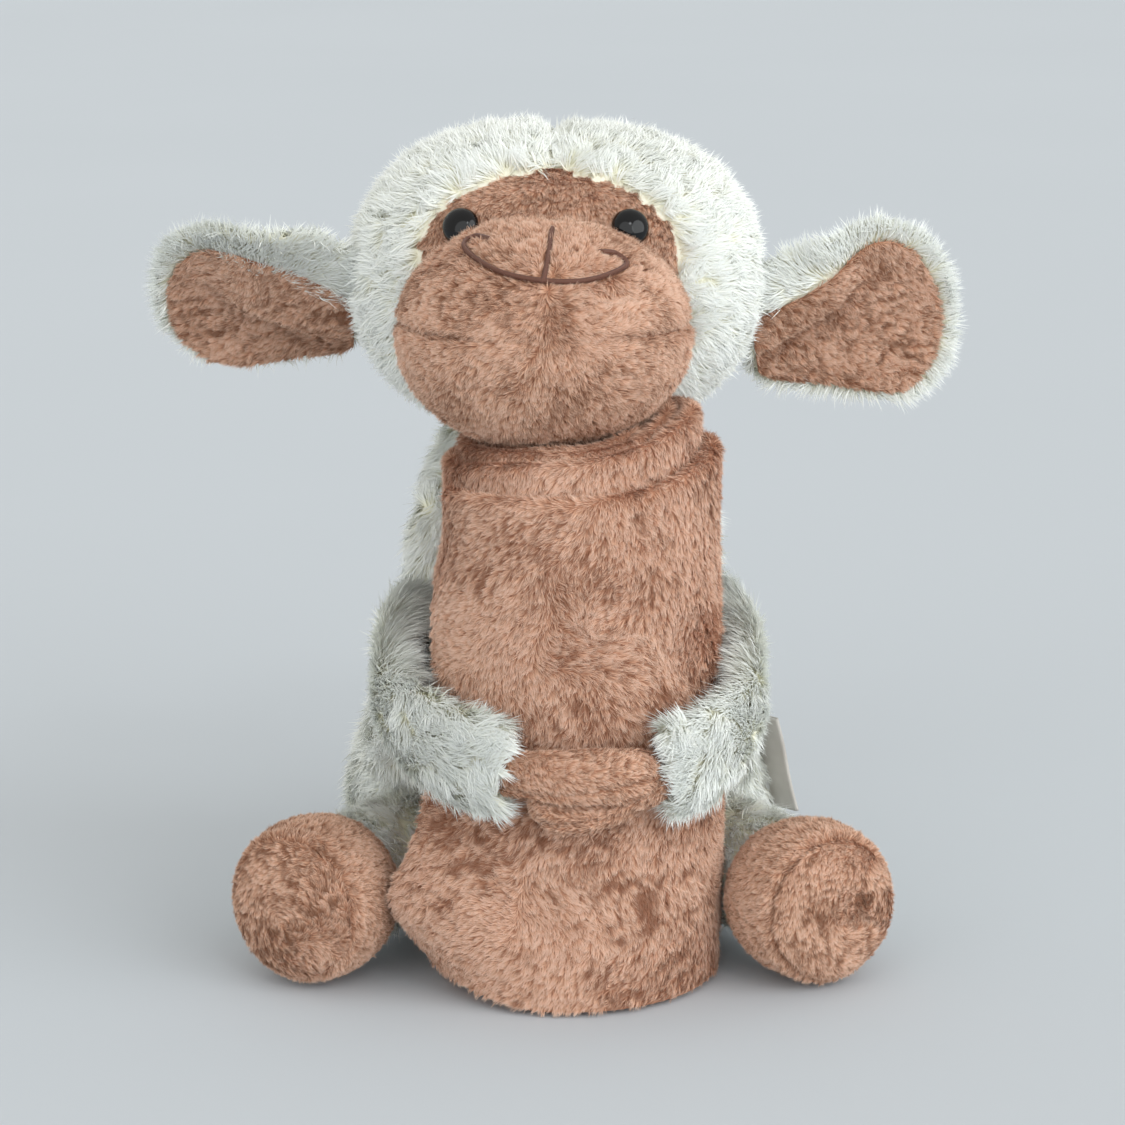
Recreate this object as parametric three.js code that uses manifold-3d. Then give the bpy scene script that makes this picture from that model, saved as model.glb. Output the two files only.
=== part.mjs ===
// A plush lamb that sits and hugs a rolled baby blanket, in millimetres, +Z up, facing -Y.
// The origin is the middle of the flat seat. Left and right are the lamb's own: its left is at +X.
import * as THREE from "three";
import { mergeVertices } from "three/addons/utils/BufferGeometryUtils.js";
import Module from "manifold-3d";

const wasm = await Module();
wasm.setup();

// Cloth and clearances
const woolWall = 6; // long-pile plush, backing and standing pile together
const velourWall = 2.6; // short-pile brown plush
const seamGap = 0.3; // between pieces that are sewn or pressed together
const slideGap = 0.6; // between the roll and what slides along it

// Blanket, folded lengthwise and rolled up
const blanketWidth = 700;
const blanketLength = 1000;
const foldLayers = 4;
const fleeceThickness = 1.8;
const rollCoreRadius = 8;
const rollX = 2;
const turnGap = 0.5;
const rollTailAngle = 205;
const stepsPerTurn = 24;

// Body
const seatRadius = 66;
const hipRadius = 77;
const hipHeight = 36;
const waistRadius = 64;
const waistHeight = 76;
const chestRadius = 48.5;
const chestHeight = 112;
const shoulderRadius = 45;
const shoulderHeight = 152;
const neckRadius = 30;
const neckHeight = 176.7;
const hipDepth = 62;
const bellyFront = 39;
const seatThickness = 4;

// Head
const headX = -2;
const headY = -19;
const headRise = 45.3; // from the neck seam to the middle of the head
const headHalfWidth = 70;
const headHalfDepth = 62;
const headHalfHeight = 53;
const headSquareness = 2.4; // 2 is an ellipsoid, more is boxier
const headRings = 12;
const faceX = -4.5;
const faceRise = 13; // rises on the head start at its middle
const faceHalfWidth = 42;
const faceHalfHeight = 26;

// Muzzle
const muzzleX = -6;
const muzzleY = -88;
const muzzleRise = -8.5;
const muzzleHalfWidth = 48.5;
const muzzleHalfDepth = 43;
const muzzleHalfHeight = 37.5;
const muzzleSquareness = 2.05;
const muzzleSeamRise = -4.5;

// Mouth
const threadRadius = 0.9;
const mouthHalfWidth = 25;
const mouthRise = 13.5;
const mouthCornerRise = 5;
const mouthHook = 7.5;
const mouthHookRise = 3.5;
const mouthTilt = -5;
const lipTop = 13;
const smileSteps = 28;
const lipSteps = 6;

// Eyes
const eyeMiddleX = -5.5;
const eyeSpacing = 54.5;
const eyeRise = 23.2;
const eyeRadius = 6.2;
const eyeHeight = 4.6;
const shankRadius = 2.2;
const shankLength = 13;
const washerRadius = 7.5;
const washerThickness = 2;
const washerInset = 2.6;
const eyeSides = 16;

// Ears
const earLength = 48;
const earHalfWidth = 31;
const earRootRadius = 16;
const earThickness = 6;
const leftEarRise = -16;
const rightEarRise = -8;
const liningBorder = 4.5;
const liningThickness = 2.4;
const liningDrop = 2;

// Arms, as bands round the roll; angles are seen from above, 90 is the middle of the front
const shoulderZ = 95;
const shoulderX = 48;
const shoulderY = -6;
const shoulderTuckX = 10; // how far a sleeve runs on into the body, sideways and backwards
const shoulderTuckY = 16;
const elbowY = -46;
const sleeveHalfThickness = 4.5;
const sleeveGap = 2.6; // between a sleeve and the roll, filled by the pile
const sleeveHalfHeight = 14;
const sleeveWall = 2.2;
const pawHalfThickness = 6.5;
const leftWristZ = 81;
const leftPawZ = 72.5;
const leftPawHalfHeight = 9.5;
const rightWristZ = 83;
const rightPawZ = 83;
const rightPawHalfHeight = 10.5;
const rightPawOut = 2.5; // the right paw lies over the left one
const armSides = 12;
const patchWidth = 18;
const patchHeight = 9;
const patchThickness = 1.2;
const lapX = 6;
const lapZ = 77;
const lapEdgeX = -16; // the right paw stops covering the left one here, counted from the middle

// Legs and feet
const footRadius = 28;
const footX = 81;
const footY = -100;
const legSpread = 30;
const legLength = 62;
const legRadius = 22;
const calfBulge = 1;
const ankleInset = 4; // the foot starts this much narrower than the leg
const hipInside = 51.5; // the legs stay this far from the middle, so that they can swing
const soleRadius = 25;
const soleStart = 13;
const soleBulge = 9;

// Care label, a folded satin strip
const labelLength = 16;
const labelHeight = 34;
const labelThickness = 0.5;
const labelFold = 0.6;
const labelZ = 35;
const labelY = -14;
const labelTurn = -48;
const labelLean = -10; // its top leans in, as the side of the body does
const labelGap = 0.8;
const labelTuck = 4;

// Worked out from the sizes above
const bandThickness = foldLayers * fleeceThickness;
const rollHeight = blanketWidth / foldLayers;
const coreShare = 0.5 + rollCoreRadius / bandThickness;
const rollTurns = Math.sqrt(coreShare ** 2 + blanketLength / (Math.PI * bandThickness)) - coreShare;
const rollRadius = rollCoreRadius + bandThickness * (rollTurns + 1);
const backShare = (90 + 360 - rollTailAngle) / 360; // of a turn, from the free end to the belly
const rollBackRadius = rollRadius - bandThickness * backShare;
const rollY = -(bellyFront + slideGap + rollBackRadius);
const headFloor = neckHeight + seamGap;
const headZ = neckHeight + headRise;
const faceZ = headZ + faceRise;
const muzzleZ = headZ + muzzleRise;
const muzzleSeamZ = headZ + muzzleSeamRise;
const mouthZ = headZ + mouthRise;
const eyeZ = headZ + eyeRise;
const bodyDepthScale = hipDepth / hipRadius;
const faceDrop = woolWall - velourWall;

// Colours
const woolWhite = cloth(0xf1f1e6);
const velourBrown = cloth(0xbb8c73);
const velourDark = cloth(0xa87a62);
const fleeceBrown = cloth(0xc09682);
const fibreWhite = cloth(0xfafafa);
const threadBrown = cloth(0x5f3728);
const satinGrey = new THREE.MeshStandardMaterial({ color: 0xc3beb6, roughness: 0.45 });
const glossBlack = new THREE.MeshStandardMaterial({ color: 0x0b0b0d, roughness: 0.12 });
const washerWhite = new THREE.MeshStandardMaterial({ color: 0xe4e4e0, roughness: 0.5 });
const patchBrown = cloth(0x8a6a58);

const lamb = new THREE.Group();

function cloth(color) {
  return new THREE.MeshStandardMaterial({ color, roughness: 0.95, metalness: 0 });
}

// Closed geometry to a solid that can be cut and joined
function solid(geometry) {
  const bare = geometry.clone();
  bare.deleteAttribute("normal");
  bare.deleteAttribute("uv");
  const merged = mergeVertices(bare, 1e-4);
  const vertProperties = merged.attributes.position.array;
  const triVerts = new Uint32Array(merged.index.array);
  return new wasm.Manifold(new wasm.Mesh({ numProp: 3, vertProperties, triVerts }));
}

// Adds a solid to the model as one named piece
function piece(name, body, material) {
  const { vertProperties, triVerts } = body.getMesh();
  const geometry = new THREE.BufferGeometry();
  geometry.setAttribute("position", new THREE.BufferAttribute(vertProperties, 3));
  geometry.setIndex(new THREE.BufferAttribute(triVerts, 1));
  geometry.computeVertexNormals();
  const mesh = new THREE.Mesh(geometry, material);
  mesh.name = name;
  lamb.add(mesh);
}

function point(x, y, z) {
  return new THREE.Vector3(x, y, z);
}

function radians(degrees) {
  return THREE.MathUtils.degToRad(degrees);
}

// A ball with three half sizes; a squareness over 2 makes it boxier
function ball(centre, half, options = {}) {
  const { squareness = 2, sides = 22, rings = 11 } = options;
  const geometry = new THREE.SphereGeometry(1, sides, rings).rotateX(Math.PI / 2);
  const at = geometry.attributes.position;
  for (let i = 0; i < at.count; i++) {
    const v = new THREE.Vector3().fromBufferAttribute(at, i);
    const size = [v.x, v.y, v.z].reduce((sum, c) => sum + Math.abs(c) ** squareness, 0);
    v.multiplyScalar(size ** (-1 / squareness));
    at.setXYZ(i, v.x, v.y, v.z);
  }
  geometry.scale(half.x, half.y, half.z);
  return solid(geometry.translate(centre.x, centre.y, centre.z));
}

// A box between two corners
function block(low, high) {
  const size = high.clone().sub(low);
  const middle = low.clone().add(high).multiplyScalar(0.5);
  return solid(new THREE.BoxGeometry(size.x, size.y, size.z).translate(middle.x, middle.y, middle.z));
}

// A profile of [radius, height] turned about Z, closed on the axis at both ends
function turned(profile, sides = 24) {
  const closed = [[0, profile[0][1]], ...profile, [0, profile.at(-1)[1]]];
  const points = closed.map(([r, z]) => new THREE.Vector2(r, z));
  return new THREE.LatheGeometry(points, sides).rotateX(Math.PI / 2);
}

// A soft band through stations of { centre, across, up }, closed by a point at each end
function band(stations, sides = armSides) {
  const rows = stations.slice(1, -1).map(({ centre, across, up }) => {
    return Array.from({ length: sides }, (_, k) => {
      const turn = (2 * Math.PI * k) / sides;
      return centre.clone().addScaledVector(across, Math.cos(turn)).addScaledVector(up, Math.sin(turn));
    });
  });
  const vertices = [stations[0].centre, ...rows.flat(), stations.at(-1).centre];
  const last = vertices.length - 1;
  const faces = [];
  for (let k = 0; k < sides; k++) {
    const next = (k + 1) % sides;
    faces.push(0, 1 + next, 1 + k);
    for (let row = 0; row < rows.length - 1; row++) {
      const a = 1 + row * sides;
      const b = a + sides;
      faces.push(a + k, a + next, b + next, a + k, b + next, b + k);
    }
    faces.push(last - sides + k, last - sides + next, last);
  }
  const geometry = new THREE.BufferGeometry().setFromPoints(vertices);
  geometry.setIndex(faces);
  const made = solid(geometry);
  if (made.volume() > 0) return made;
  for (let i = 0; i < faces.length; i += 3) [faces[i], faces[i + 1]] = [faces[i + 1], faces[i]];
  return solid(geometry.setIndex(faces));
}

// Space that cuts things: everything before the belly, and everything under the head
const far = 400;
const beforeBelly = (inset) => block(point(-far, -far, -far), point(far, inset - bellyFront, far));
const underHead = (lift) => block(point(-far, -far, -far), point(far, far, headFloor + lift));

// Blanket
function spiralPoint(turn, offset) {
  const radius = rollCoreRadius + bandThickness * (turn + 0.5) + offset;
  const angle = radians(rollTailAngle) - 2 * Math.PI * (turn - rollTurns);
  return new THREE.Vector2(radius * Math.cos(angle), radius * Math.sin(angle));
}

function blanketRoll() {
  const half = (bandThickness - turnGap) / 2;
  const steps = Math.ceil(rollTurns * stepsPerTurn);
  const turns = Array.from({ length: steps + 1 }, (_, i) => (rollTurns * i) / steps);
  const outside = turns.map((turn) => spiralPoint(turn, half));
  const inside = turns.map((turn) => spiralPoint(turn, -half)).reverse();
  const outline = new THREE.Shape([...outside, ...inside].reverse());
  const geometry = new THREE.ExtrudeGeometry(outline, { depth: rollHeight, bevelEnabled: false });
  piece("blanket_roll", solid(geometry.translate(rollX, rollY, 0)), fleeceBrown);
}

// Body
function pear(inset, bottom, top) {
  const shape = new THREE.SplineCurve([
    new THREE.Vector2(seatRadius, 0),
    new THREE.Vector2(hipRadius, hipHeight),
    new THREE.Vector2(waistRadius, waistHeight),
    new THREE.Vector2(chestRadius, chestHeight),
    new THREE.Vector2(shoulderRadius, shoulderHeight),
    new THREE.Vector2(neckRadius, neckHeight),
  ]);
  const profile = shape.getPoints(11).map(({ x, y }) => [x - inset, y]);
  const first = [profile[0][0], Math.min(bottom, 0)];
  const last = [profile.at(-1)[0], Math.max(top, neckHeight)];
  const ends = [first, ...profile.slice(1, -1), last];
  const whole = solid(turned(ends).scale(1, bodyDepthScale, 1));
  const slice = block(point(-far, -far, bottom), point(far, far, top));
  return whole.intersect(slice).subtract(beforeBelly(inset));
}

const bodyForm = pear(0, 0, neckHeight);
const bodyKeepOut = pear(-seamGap, -seamGap, neckHeight);
const bodyRoom = pear(-slideGap, -slideGap, neckHeight); // for the arms, which turn along it

function body() {
  const lining = woolWall + seamGap;
  piece("body_cover", bodyForm.subtract(pear(woolWall, -1, neckHeight + 1)), woolWhite);
  piece("body_filling", pear(lining, seatThickness + seamGap, neckHeight), fibreWhite);
  const inner = seatRadius - lining;
  const disc = solid(turned([[inner, 0], [inner, seatThickness]]).scale(1, bodyDepthScale, 1));
  piece("seat_panel", disc.subtract(beforeBelly(lining)), woolWhite);
}

// Head and muzzle
const headCentre = point(headX, headY, headZ);
const muzzleCentre = point(muzzleX, muzzleY, muzzleZ);

function headBall(inset) {
  const half = point(headHalfWidth - inset, headHalfDepth - inset, headHalfHeight - inset);
  return ball(headCentre, half, { squareness: headSquareness, rings: headRings });
}

function muzzleBall(inset) {
  const half = point(muzzleHalfWidth - inset, muzzleHalfDepth - inset, muzzleHalfHeight - inset);
  return ball(muzzleCentre, half, { squareness: muzzleSquareness });
}

function faceWindow(grow) {
  const reach = 1.2 * headHalfDepth;
  const tube = new THREE.CylinderGeometry(1, 1, reach, 32);
  tube.scale(faceHalfWidth + grow, 1, faceHalfHeight + grow);
  return solid(tube.translate(faceX, headY - reach / 2, faceZ));
}

// Where an eye sits on the face, and which way it looks
function eyeSeat(side) {
  const half = point(headHalfWidth - faceDrop, headHalfDepth - faceDrop, headHalfHeight - faceDrop);
  const x = eyeMiddleX + (side * eyeSpacing) / 2;
  const acrossShare = (x - headX) / half.x;
  const upShare = (eyeZ - headZ) / half.z;
  const left = 1 - Math.abs(acrossShare) ** headSquareness - Math.abs(upShare) ** headSquareness;
  const frontShare = -(left ** (1 / headSquareness));
  const seat = point(x, headY + half.y * frontShare, eyeZ);
  const slope = (share, size) => (Math.sign(share) * Math.abs(share) ** (headSquareness - 1)) / size;
  const outward = point(slope(acrossShare, half.x), slope(frontShare, half.y), slope(upShare, half.z));
  return { seat, outward: outward.normalize() };
}

// A turned profile whose +Z looks out of the face at an eye
function atEye(side, profile, sides) {
  const { seat, outward } = eyeSeat(side);
  const turn = new THREE.Quaternion().setFromUnitVectors(point(0, 0, 1), outward);
  const geometry = turned(profile, sides).applyQuaternion(turn);
  return solid(geometry.translate(seat.x, seat.y, seat.z));
}

function eyeProfile(grow) {
  const dome = [1, 0.94, 0.77, 0.5].map((share, i) => {
    const rise = [0, 0.34, 0.64, 0.87][i];
    return [eyeRadius * share + grow, seamGap + eyeHeight * rise];
  });
  const shank = [[shankRadius + grow, -shankLength - grow], [shankRadius + grow, seamGap - grow]];
  const rim = [[eyeRadius + grow, seamGap - grow]];
  return [...shank, ...(grow ? rim : []), ...dome, [0.5, seamGap + eyeHeight + grow]];
}

const washerFront = -(velourWall + washerInset);
const washerBack = washerFront - washerThickness;

function eyes() {
  for (const [name, side] of [["left", 1], ["right", -1]]) {
    piece(`eye_${name}`, atEye(side, eyeProfile(0), eyeSides), glossBlack);
    const disc = atEye(side, [[washerRadius, washerBack], [washerRadius, washerFront]], eyeSides);
    const hole = shankRadius + seamGap;
    const bore = atEye(side, [[hole, washerBack - 1], [hole, washerFront + 1]], eyeSides);
    piece(`eye_washer_${name}`, disc.subtract(bore), washerWhite);
  }
}

// Room for an eye, and for its washer behind the face
function eyeRooms() {
  const grown = washerRadius + seamGap;
  const pocket = [[grown, washerBack - seamGap], [grown, 1]];
  return [1, -1].map((side) => {
    const eye = atEye(side, eyeProfile(seamGap), eyeSides);
    return { eye, behind: eye.add(atEye(side, pocket, eyeSides)) };
  });
}

function head() {
  const rooms = eyeRooms();
  const muzzleKeepOut = muzzleBall(-seamGap);
  const cover = headBall(0).subtract(headBall(woolWall)).subtract(underHead(0));
  piece("head_cover", cover.subtract(faceWindow(seamGap)).subtract(muzzleKeepOut), woolWhite);

  const panel = headBall(faceDrop).subtract(headBall(woolWall)).intersect(faceWindow(0));
  const pierced = rooms.reduce((left, room) => left.subtract(room.eye), panel.subtract(muzzleKeepOut));
  piece("face_panel", pierced, velourBrown);

  const shell = muzzleBall(0).subtract(muzzleBall(velourWall)).subtract(headBall(faceDrop - seamGap));
  const clear = rooms.reduce((left, room) => left.subtract(room.eye), shell).subtract(underHead(0));
  const halfGap = seamGap / 2;
  const above = block(point(-far, -far, muzzleSeamZ - halfGap), point(far, far, far));
  const below = block(point(-far, -far, -far), point(far, far, muzzleSeamZ + halfGap));
  piece("muzzle_upper", clear.subtract(below), velourBrown);
  piece("muzzle_lower", clear.subtract(above), velourBrown);

  const fibre = headBall(woolWall + seamGap).add(muzzleBall(velourWall + seamGap));
  const trimmed = fibre.subtract(underHead(seamGap));
  const holed = rooms.reduce((left, room) => left.subtract(room.behind), trimmed);
  piece("head_filling", holed, fibreWhite);
}

// A point just over the front of the muzzle
function onMuzzle(x, z) {
  const up = (z - muzzleZ) / muzzleHalfHeight;
  const across = (x - muzzleX) / muzzleHalfWidth;
  const left = 1 - Math.abs(across) ** muzzleSquareness - Math.abs(up) ** muzzleSquareness;
  const y = muzzleY - muzzleHalfDepth * left ** (1 / muzzleSquareness);
  const out = point(x, y, z);
  const away = out.clone().sub(muzzleCentre).normalize();
  return out.addScaledVector(away, threadRadius + seamGap);
}

function stitch(flatPoints, steps) {
  const tilt = radians(mouthTilt);
  const middle = new THREE.Vector2(0, 0);
  const placed = flatPoints.map(([x, z]) => {
    const turnedPoint = new THREE.Vector2(x, z).rotateAround(middle, tilt);
    return onMuzzle(muzzleX + turnedPoint.x, mouthZ + turnedPoint.y);
  });
  const round = new THREE.Shape().absarc(0, 0, threadRadius, 0, 2 * Math.PI);
  const extrudePath = new THREE.CatmullRomCurve3(placed);
  return solid(new THREE.ExtrudeGeometry(round, { steps, curveSegments: 2, extrudePath }));
}

function mouth() {
  const hook = [mouthHalfWidth - mouthHook, mouthCornerRise + mouthHookRise];
  const corner = [mouthHalfWidth, mouthCornerRise];
  const cheek = [mouthHalfWidth * 0.55, mouthCornerRise * 0.22];
  const mirrored = ([x, z]) => [-x, z];
  const otherSide = [cheek, corner, hook].map(mirrored);
  const smile = stitch([hook, corner, cheek, [0, 0], ...otherSide], smileSteps);
  const lip = stitch([[0, -threadRadius / 4], [1, lipTop / 2], [1.5, lipTop]], lipSteps);
  piece("mouth_embroidery", smile.add(lip), threadBrown);
}

// Ears: a flat leaf that grows from a round root, with its lining on the front
function leafOutline(border, bevel) {
  const half = earHalfWidth - border - bevel;
  const root = earRootRadius - border / 3 - bevel;
  const tip = earLength - border - bevel;
  const edge = new THREE.SplineCurve([
    new THREE.Vector2(0, root),
    new THREE.Vector2(tip * 0.25, half * 0.74),
    new THREE.Vector2(tip * 0.62, half),
    new THREE.Vector2(tip * 0.89, half * 0.66),
    new THREE.Vector2(tip, 0),
  ]);
  const upper = edge.getPoints(11);
  const lower = upper.slice(0, -1).reverse().map(({ x, y }) => new THREE.Vector2(x, -y));
  const back = [5, 4, 3, 2, 1].map((i) => {
    const angle = Math.PI / 2 + (Math.PI * i) / 6;
    return new THREE.Vector2(root * Math.cos(angle), root * Math.sin(angle));
  });
  return new THREE.Shape([...upper, ...lower, ...back]);
}

function leaf(border, thickness) {
  const bevel = thickness / 3;
  const geometry = new THREE.ExtrudeGeometry(leafOutline(border, bevel), {
    depth: thickness - 2 * bevel,
    bevelThickness: bevel,
    bevelSize: bevel,
    bevelSegments: 1,
    curveSegments: 1,
  });
  return geometry.translate(0, 0, bevel);
}

const ears = {
  left: { side: 1, rise: leftEarRise, lift: 10, roll: 4 },
  right: { side: -1, rise: rightEarRise, lift: 8, roll: 36 },
};

// The middle of an ear's round root, which touches the side of the head
function earRoot({ side, rise }) {
  const upShare = Math.abs(rise) / headHalfHeight;
  const headSide = headHalfWidth * (1 - upShare ** headSquareness) ** (1 / headSquareness);
  return point(headX + side * (headSide + seamGap + earRootRadius), headY, headZ + rise);
}

// Stands a leaf up beside the head: its length points outwards and its lined face looks to the front
function atEar(ear, geometry) {
  const { side, lift, roll } = ear;
  const { x, y, z } = earRoot(ear);
  if (side < 0) geometry.rotateZ(Math.PI);
  geometry.rotateX(Math.PI / 2).rotateX(radians(roll)).rotateY(radians(-side * lift));
  return solid(geometry.translate(x, y, z));
}

function earPair() {
  for (const [name, ear] of Object.entries(ears)) {
    const back = leaf(0, earThickness).translate(0, 0, -earThickness);
    piece(`ear_back_${name}`, atEar(ear, back), woolWhite);
    const drop = -ear.side * liningDrop;
    const lining = leaf(liningBorder, liningThickness).translate(0, drop, seamGap);
    piece(`ear_lining_${name}`, atEar(ear, lining), velourBrown);
  }
}

// Arms: each leaves the shoulder, runs along the side of the roll and wraps round its front
const arms = {
  left: {
    side: 1,
    sleeveEnd: 58,
    pawEnd: 103,
    wristZ: leftWristZ,
    pawZ: leftPawZ,
    pawOut: 0,
    pawHigh: leftPawHalfHeight,
  },
  right: {
    side: -1,
    sleeveEnd: 69,
    pawEnd: 119,
    wristZ: rightWristZ,
    pawZ: rightPawZ,
    pawOut: rightPawOut,
    pawHigh: rightPawHalfHeight,
  },
};

// The middle of an arm at an angle round the roll, counted from its own side towards the front
function roundRoll(side, degrees, z, thickness) {
  const reach = rollRadius + slideGap + thickness;
  const angle = radians(degrees);
  const outward = point(side * Math.cos(angle), -Math.sin(angle), 0);
  return { centre: point(rollX, rollY, z).addScaledVector(outward, reach), outward };
}

function station(side, degrees, z, thickness, height, out = 0) {
  const { centre, outward } = roundRoll(side, degrees, z, thickness);
  centre.addScaledVector(outward, out);
  return { centre, across: outward.clone().multiplyScalar(thickness), up: point(0, 0, height) };
}

function sleeveForm({ side, sleeveEnd, wristZ }, inset) {
  const thick = sleeveHalfThickness - inset;
  const high = sleeveHalfHeight - inset;
  const across = point(side * thick, 0, 0);
  const up = point(0, 0, high);
  const besideX = rollX + side * (rollRadius + sleeveGap + sleeveHalfThickness);
  const fall = shoulderZ - wristZ;
  const tucked = (share) => {
    return point(side * (shoulderX - share * shoulderTuckX), shoulderY + share * shoulderTuckY, shoulderZ);
  };
  const before = [
    { centre: tucked(1.4) },
    { centre: tucked(1), across, up },
    { centre: tucked(0), across, up },
    { centre: point(besideX, elbowY, shoulderZ - fall * 0.15), across, up },
  ];
  const around = [0, 0.25, 0.5, 0.75, 1, 1.12].map((share) => {
    const z = shoulderZ - fall * (0.3 + 0.7 * Math.min(share, 1));
    return station(side, sleeveEnd * share, z, thick, high, inset + sleeveGap - slideGap);
  });
  return band([...before, ...around, { centre: around.at(-1).centre }]);
}

function pawForm({ side, sleeveEnd, pawEnd, wristZ, pawZ, pawOut, pawHigh }) {
  const spread = pawEnd - sleeveEnd;
  // How far along the paw, and how full it is there
  const sizes = [[-0.16, 0.8], [0.1, 0.85], [0.35, 0.96], [0.62, 1], [0.84, 0.86], [0.96, 0.5]];
  const rows = sizes.map(([share, size]) => {
    const settled = Math.min(1, Math.max(0, share) * 1.6);
    const z = wristZ + (pawZ - wristZ) * settled;
    const degrees = sleeveEnd + spread * share;
    return station(side, degrees, z, pawHalfThickness * size, pawHigh * size, pawOut * settled);
  });
  const tip = station(side, pawEnd, pawZ, pawHalfThickness * 0.5, pawHigh, pawOut);
  return band([{ centre: rows[0].centre }, ...rows, { centre: tip.centre }]);
}

// A wedge of space on one side of the wrist, square to the roll
function pastWrist({ side, sleeveEnd }, gap) {
  const size = far / 2;
  const angle = radians(sleeveEnd);
  const turn = side > 0 ? -angle : Math.PI + angle;
  const box = new THREE.BoxGeometry(size, size, far);
  box.translate(size / 2, (-side * size) / 2 - side * gap, 0);
  return solid(box.rotateZ(turn).translate(rollX, rollY, shoulderZ));
}

// The paws lie on each other on a plane that leans back: the right one over, the left one under
const pawLean = Math.PI / 4;
const lapY = rollY - (rollRadius + slideGap + pawHalfThickness);

function atLap(geometry) {
  return solid(geometry.rotateX(pawLean).translate(lapX, lapY, lapZ));
}

function overLap(lift) {
  const box = new THREE.BoxGeometry(far, far, far);
  return atLap(box.translate(0, 0, far / 2 + lift));
}

function underLap(lift) {
  const box = new THREE.BoxGeometry(far, far, far);
  return atLap(box.translate(far / 2 + lapEdgeX - lapX, 0, -far / 2 - lift));
}

function patch(name, low, material) {
  const plate = new THREE.BoxGeometry(patchWidth, patchHeight, patchThickness);
  piece(name, atLap(plate.translate(0, 0, low + patchThickness / 2)), material);
}

function armPair() {
  const lapHalf = patchThickness + 1.5 * seamGap;
  for (const [name, arm] of Object.entries(arms)) {
    const laps = (lift) => (arm.side > 0 ? overLap(-lapHalf - lift) : underLap(-lapHalf - lift));
    const sleeve = sleeveForm(arm, 0).subtract(pastWrist(arm, 0)).subtract(bodyRoom);
    const sleeveInside = sleeveForm(arm, sleeveWall);
    piece(`sleeve_${name}`, sleeve.subtract(sleeveInside), woolWhite);
    const paw = pawForm(arm).intersect(pastWrist(arm, seamGap)).subtract(laps(0));
    piece(`paw_${name}`, paw, velourBrown);
    const fibre = sleeveForm(arm, sleeveWall + seamGap).subtract(pastWrist(arm, 0));
    piece(`arm_filling_${name}`, fibre.subtract(bodyRoom), fibreWhite);
  }
  patch("hook_patch", seamGap / 2, patchBrown);
  patch("loop_patch", -seamGap / 2 - patchThickness, patchBrown);
}

// Legs and feet, turned about an axis that runs from the hip to the sole
function atLeg(side, profile, sides = 18) {
  const along = point(side * Math.sin(radians(legSpread)), -Math.cos(radians(legSpread)), 0);
  const turn = new THREE.Quaternion().setFromUnitVectors(point(0, 0, 1), along);
  const geometry = turned(profile, sides).applyQuaternion(turn);
  return solid(geometry.translate(side * footX, footY, footRadius));
}

function footProfile(inset) {
  const ankle = legRadius - ankleInset;
  const round = new THREE.SplineCurve([
    new THREE.Vector2(ankle, -footRadius * 0.85),
    new THREE.Vector2(footRadius * 0.93, -footRadius * 0.4),
    new THREE.Vector2(footRadius, 0),
    new THREE.Vector2(soleRadius, soleStart),
    new THREE.Vector2(soleRadius * 0.6, soleStart + soleBulge * 0.8),
    new THREE.Vector2(soleRadius * 0.1, soleStart + soleBulge),
  ]);
  const soleEnd = soleStart + soleBulge;
  return round.getPoints(9).map(({ x, y }) => {
    return [Math.max(x - inset, 0.5), y - inset * Math.max(0, y / soleEnd)];
  });
}

const rollRoom = rollRadius + slideGap;
const rollSpace = turned([[rollRoom, -seamGap], [rollRoom, far]], 2 * stepsPerTurn);
const rollKeepOut = solid(rollSpace.translate(rollX, rollY, 0));

function legPair() {
  const ankle = -footRadius * 0.62;
  const wide = 2 * footRadius;
  const soleCut = (side, gap) => atLeg(side, [[wide, soleStart + gap], [wide, wide]]);
  const ankleCut = (side) => atLeg(side, [[wide, -far / 2], [wide, ankle + seamGap]]);
  for (const [name, side] of [["left", 1], ["right", -1]]) {
    const legShape = (inset, longer) => atLeg(side, [
      [legRadius - inset, -legLength - footRadius - longer],
      [legRadius - inset, -legLength],
      [legRadius + calfBulge - inset, -legLength * 0.6],
      [legRadius - inset, ankle + longer],
    ]);
    const inside = block(point(-hipInside, -far, -far), point(hipInside, far, far));
    const clear = (form) => form.subtract(bodyKeepOut).subtract(rollKeepOut).subtract(inside);
    piece(`leg_cover_${name}`, clear(legShape(0, 0).subtract(legShape(woolWall, 1))), woolWhite);
    const foot = atLeg(side, footProfile(0)).subtract(ankleCut(side));
    const hollow = atLeg(side, footProfile(velourWall));
    const shell = clear(foot.subtract(hollow));
    piece(`foot_upper_${name}`, shell.subtract(soleCut(side, 0)), velourBrown);
    piece(`sole_${name}`, shell.intersect(soleCut(side, seamGap)), velourDark);
    const fibre = atLeg(side, footProfile(velourWall + seamGap)).subtract(ankleCut(side));
    const coreRadius = legRadius - woolWall - seamGap;
    const core = atLeg(side, [[coreRadius, -legLength - footRadius], [coreRadius, 0]]);
    piece(`leg_filling_${name}`, clear(core.add(fibre)), fibreWhite);
  }
}

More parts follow.
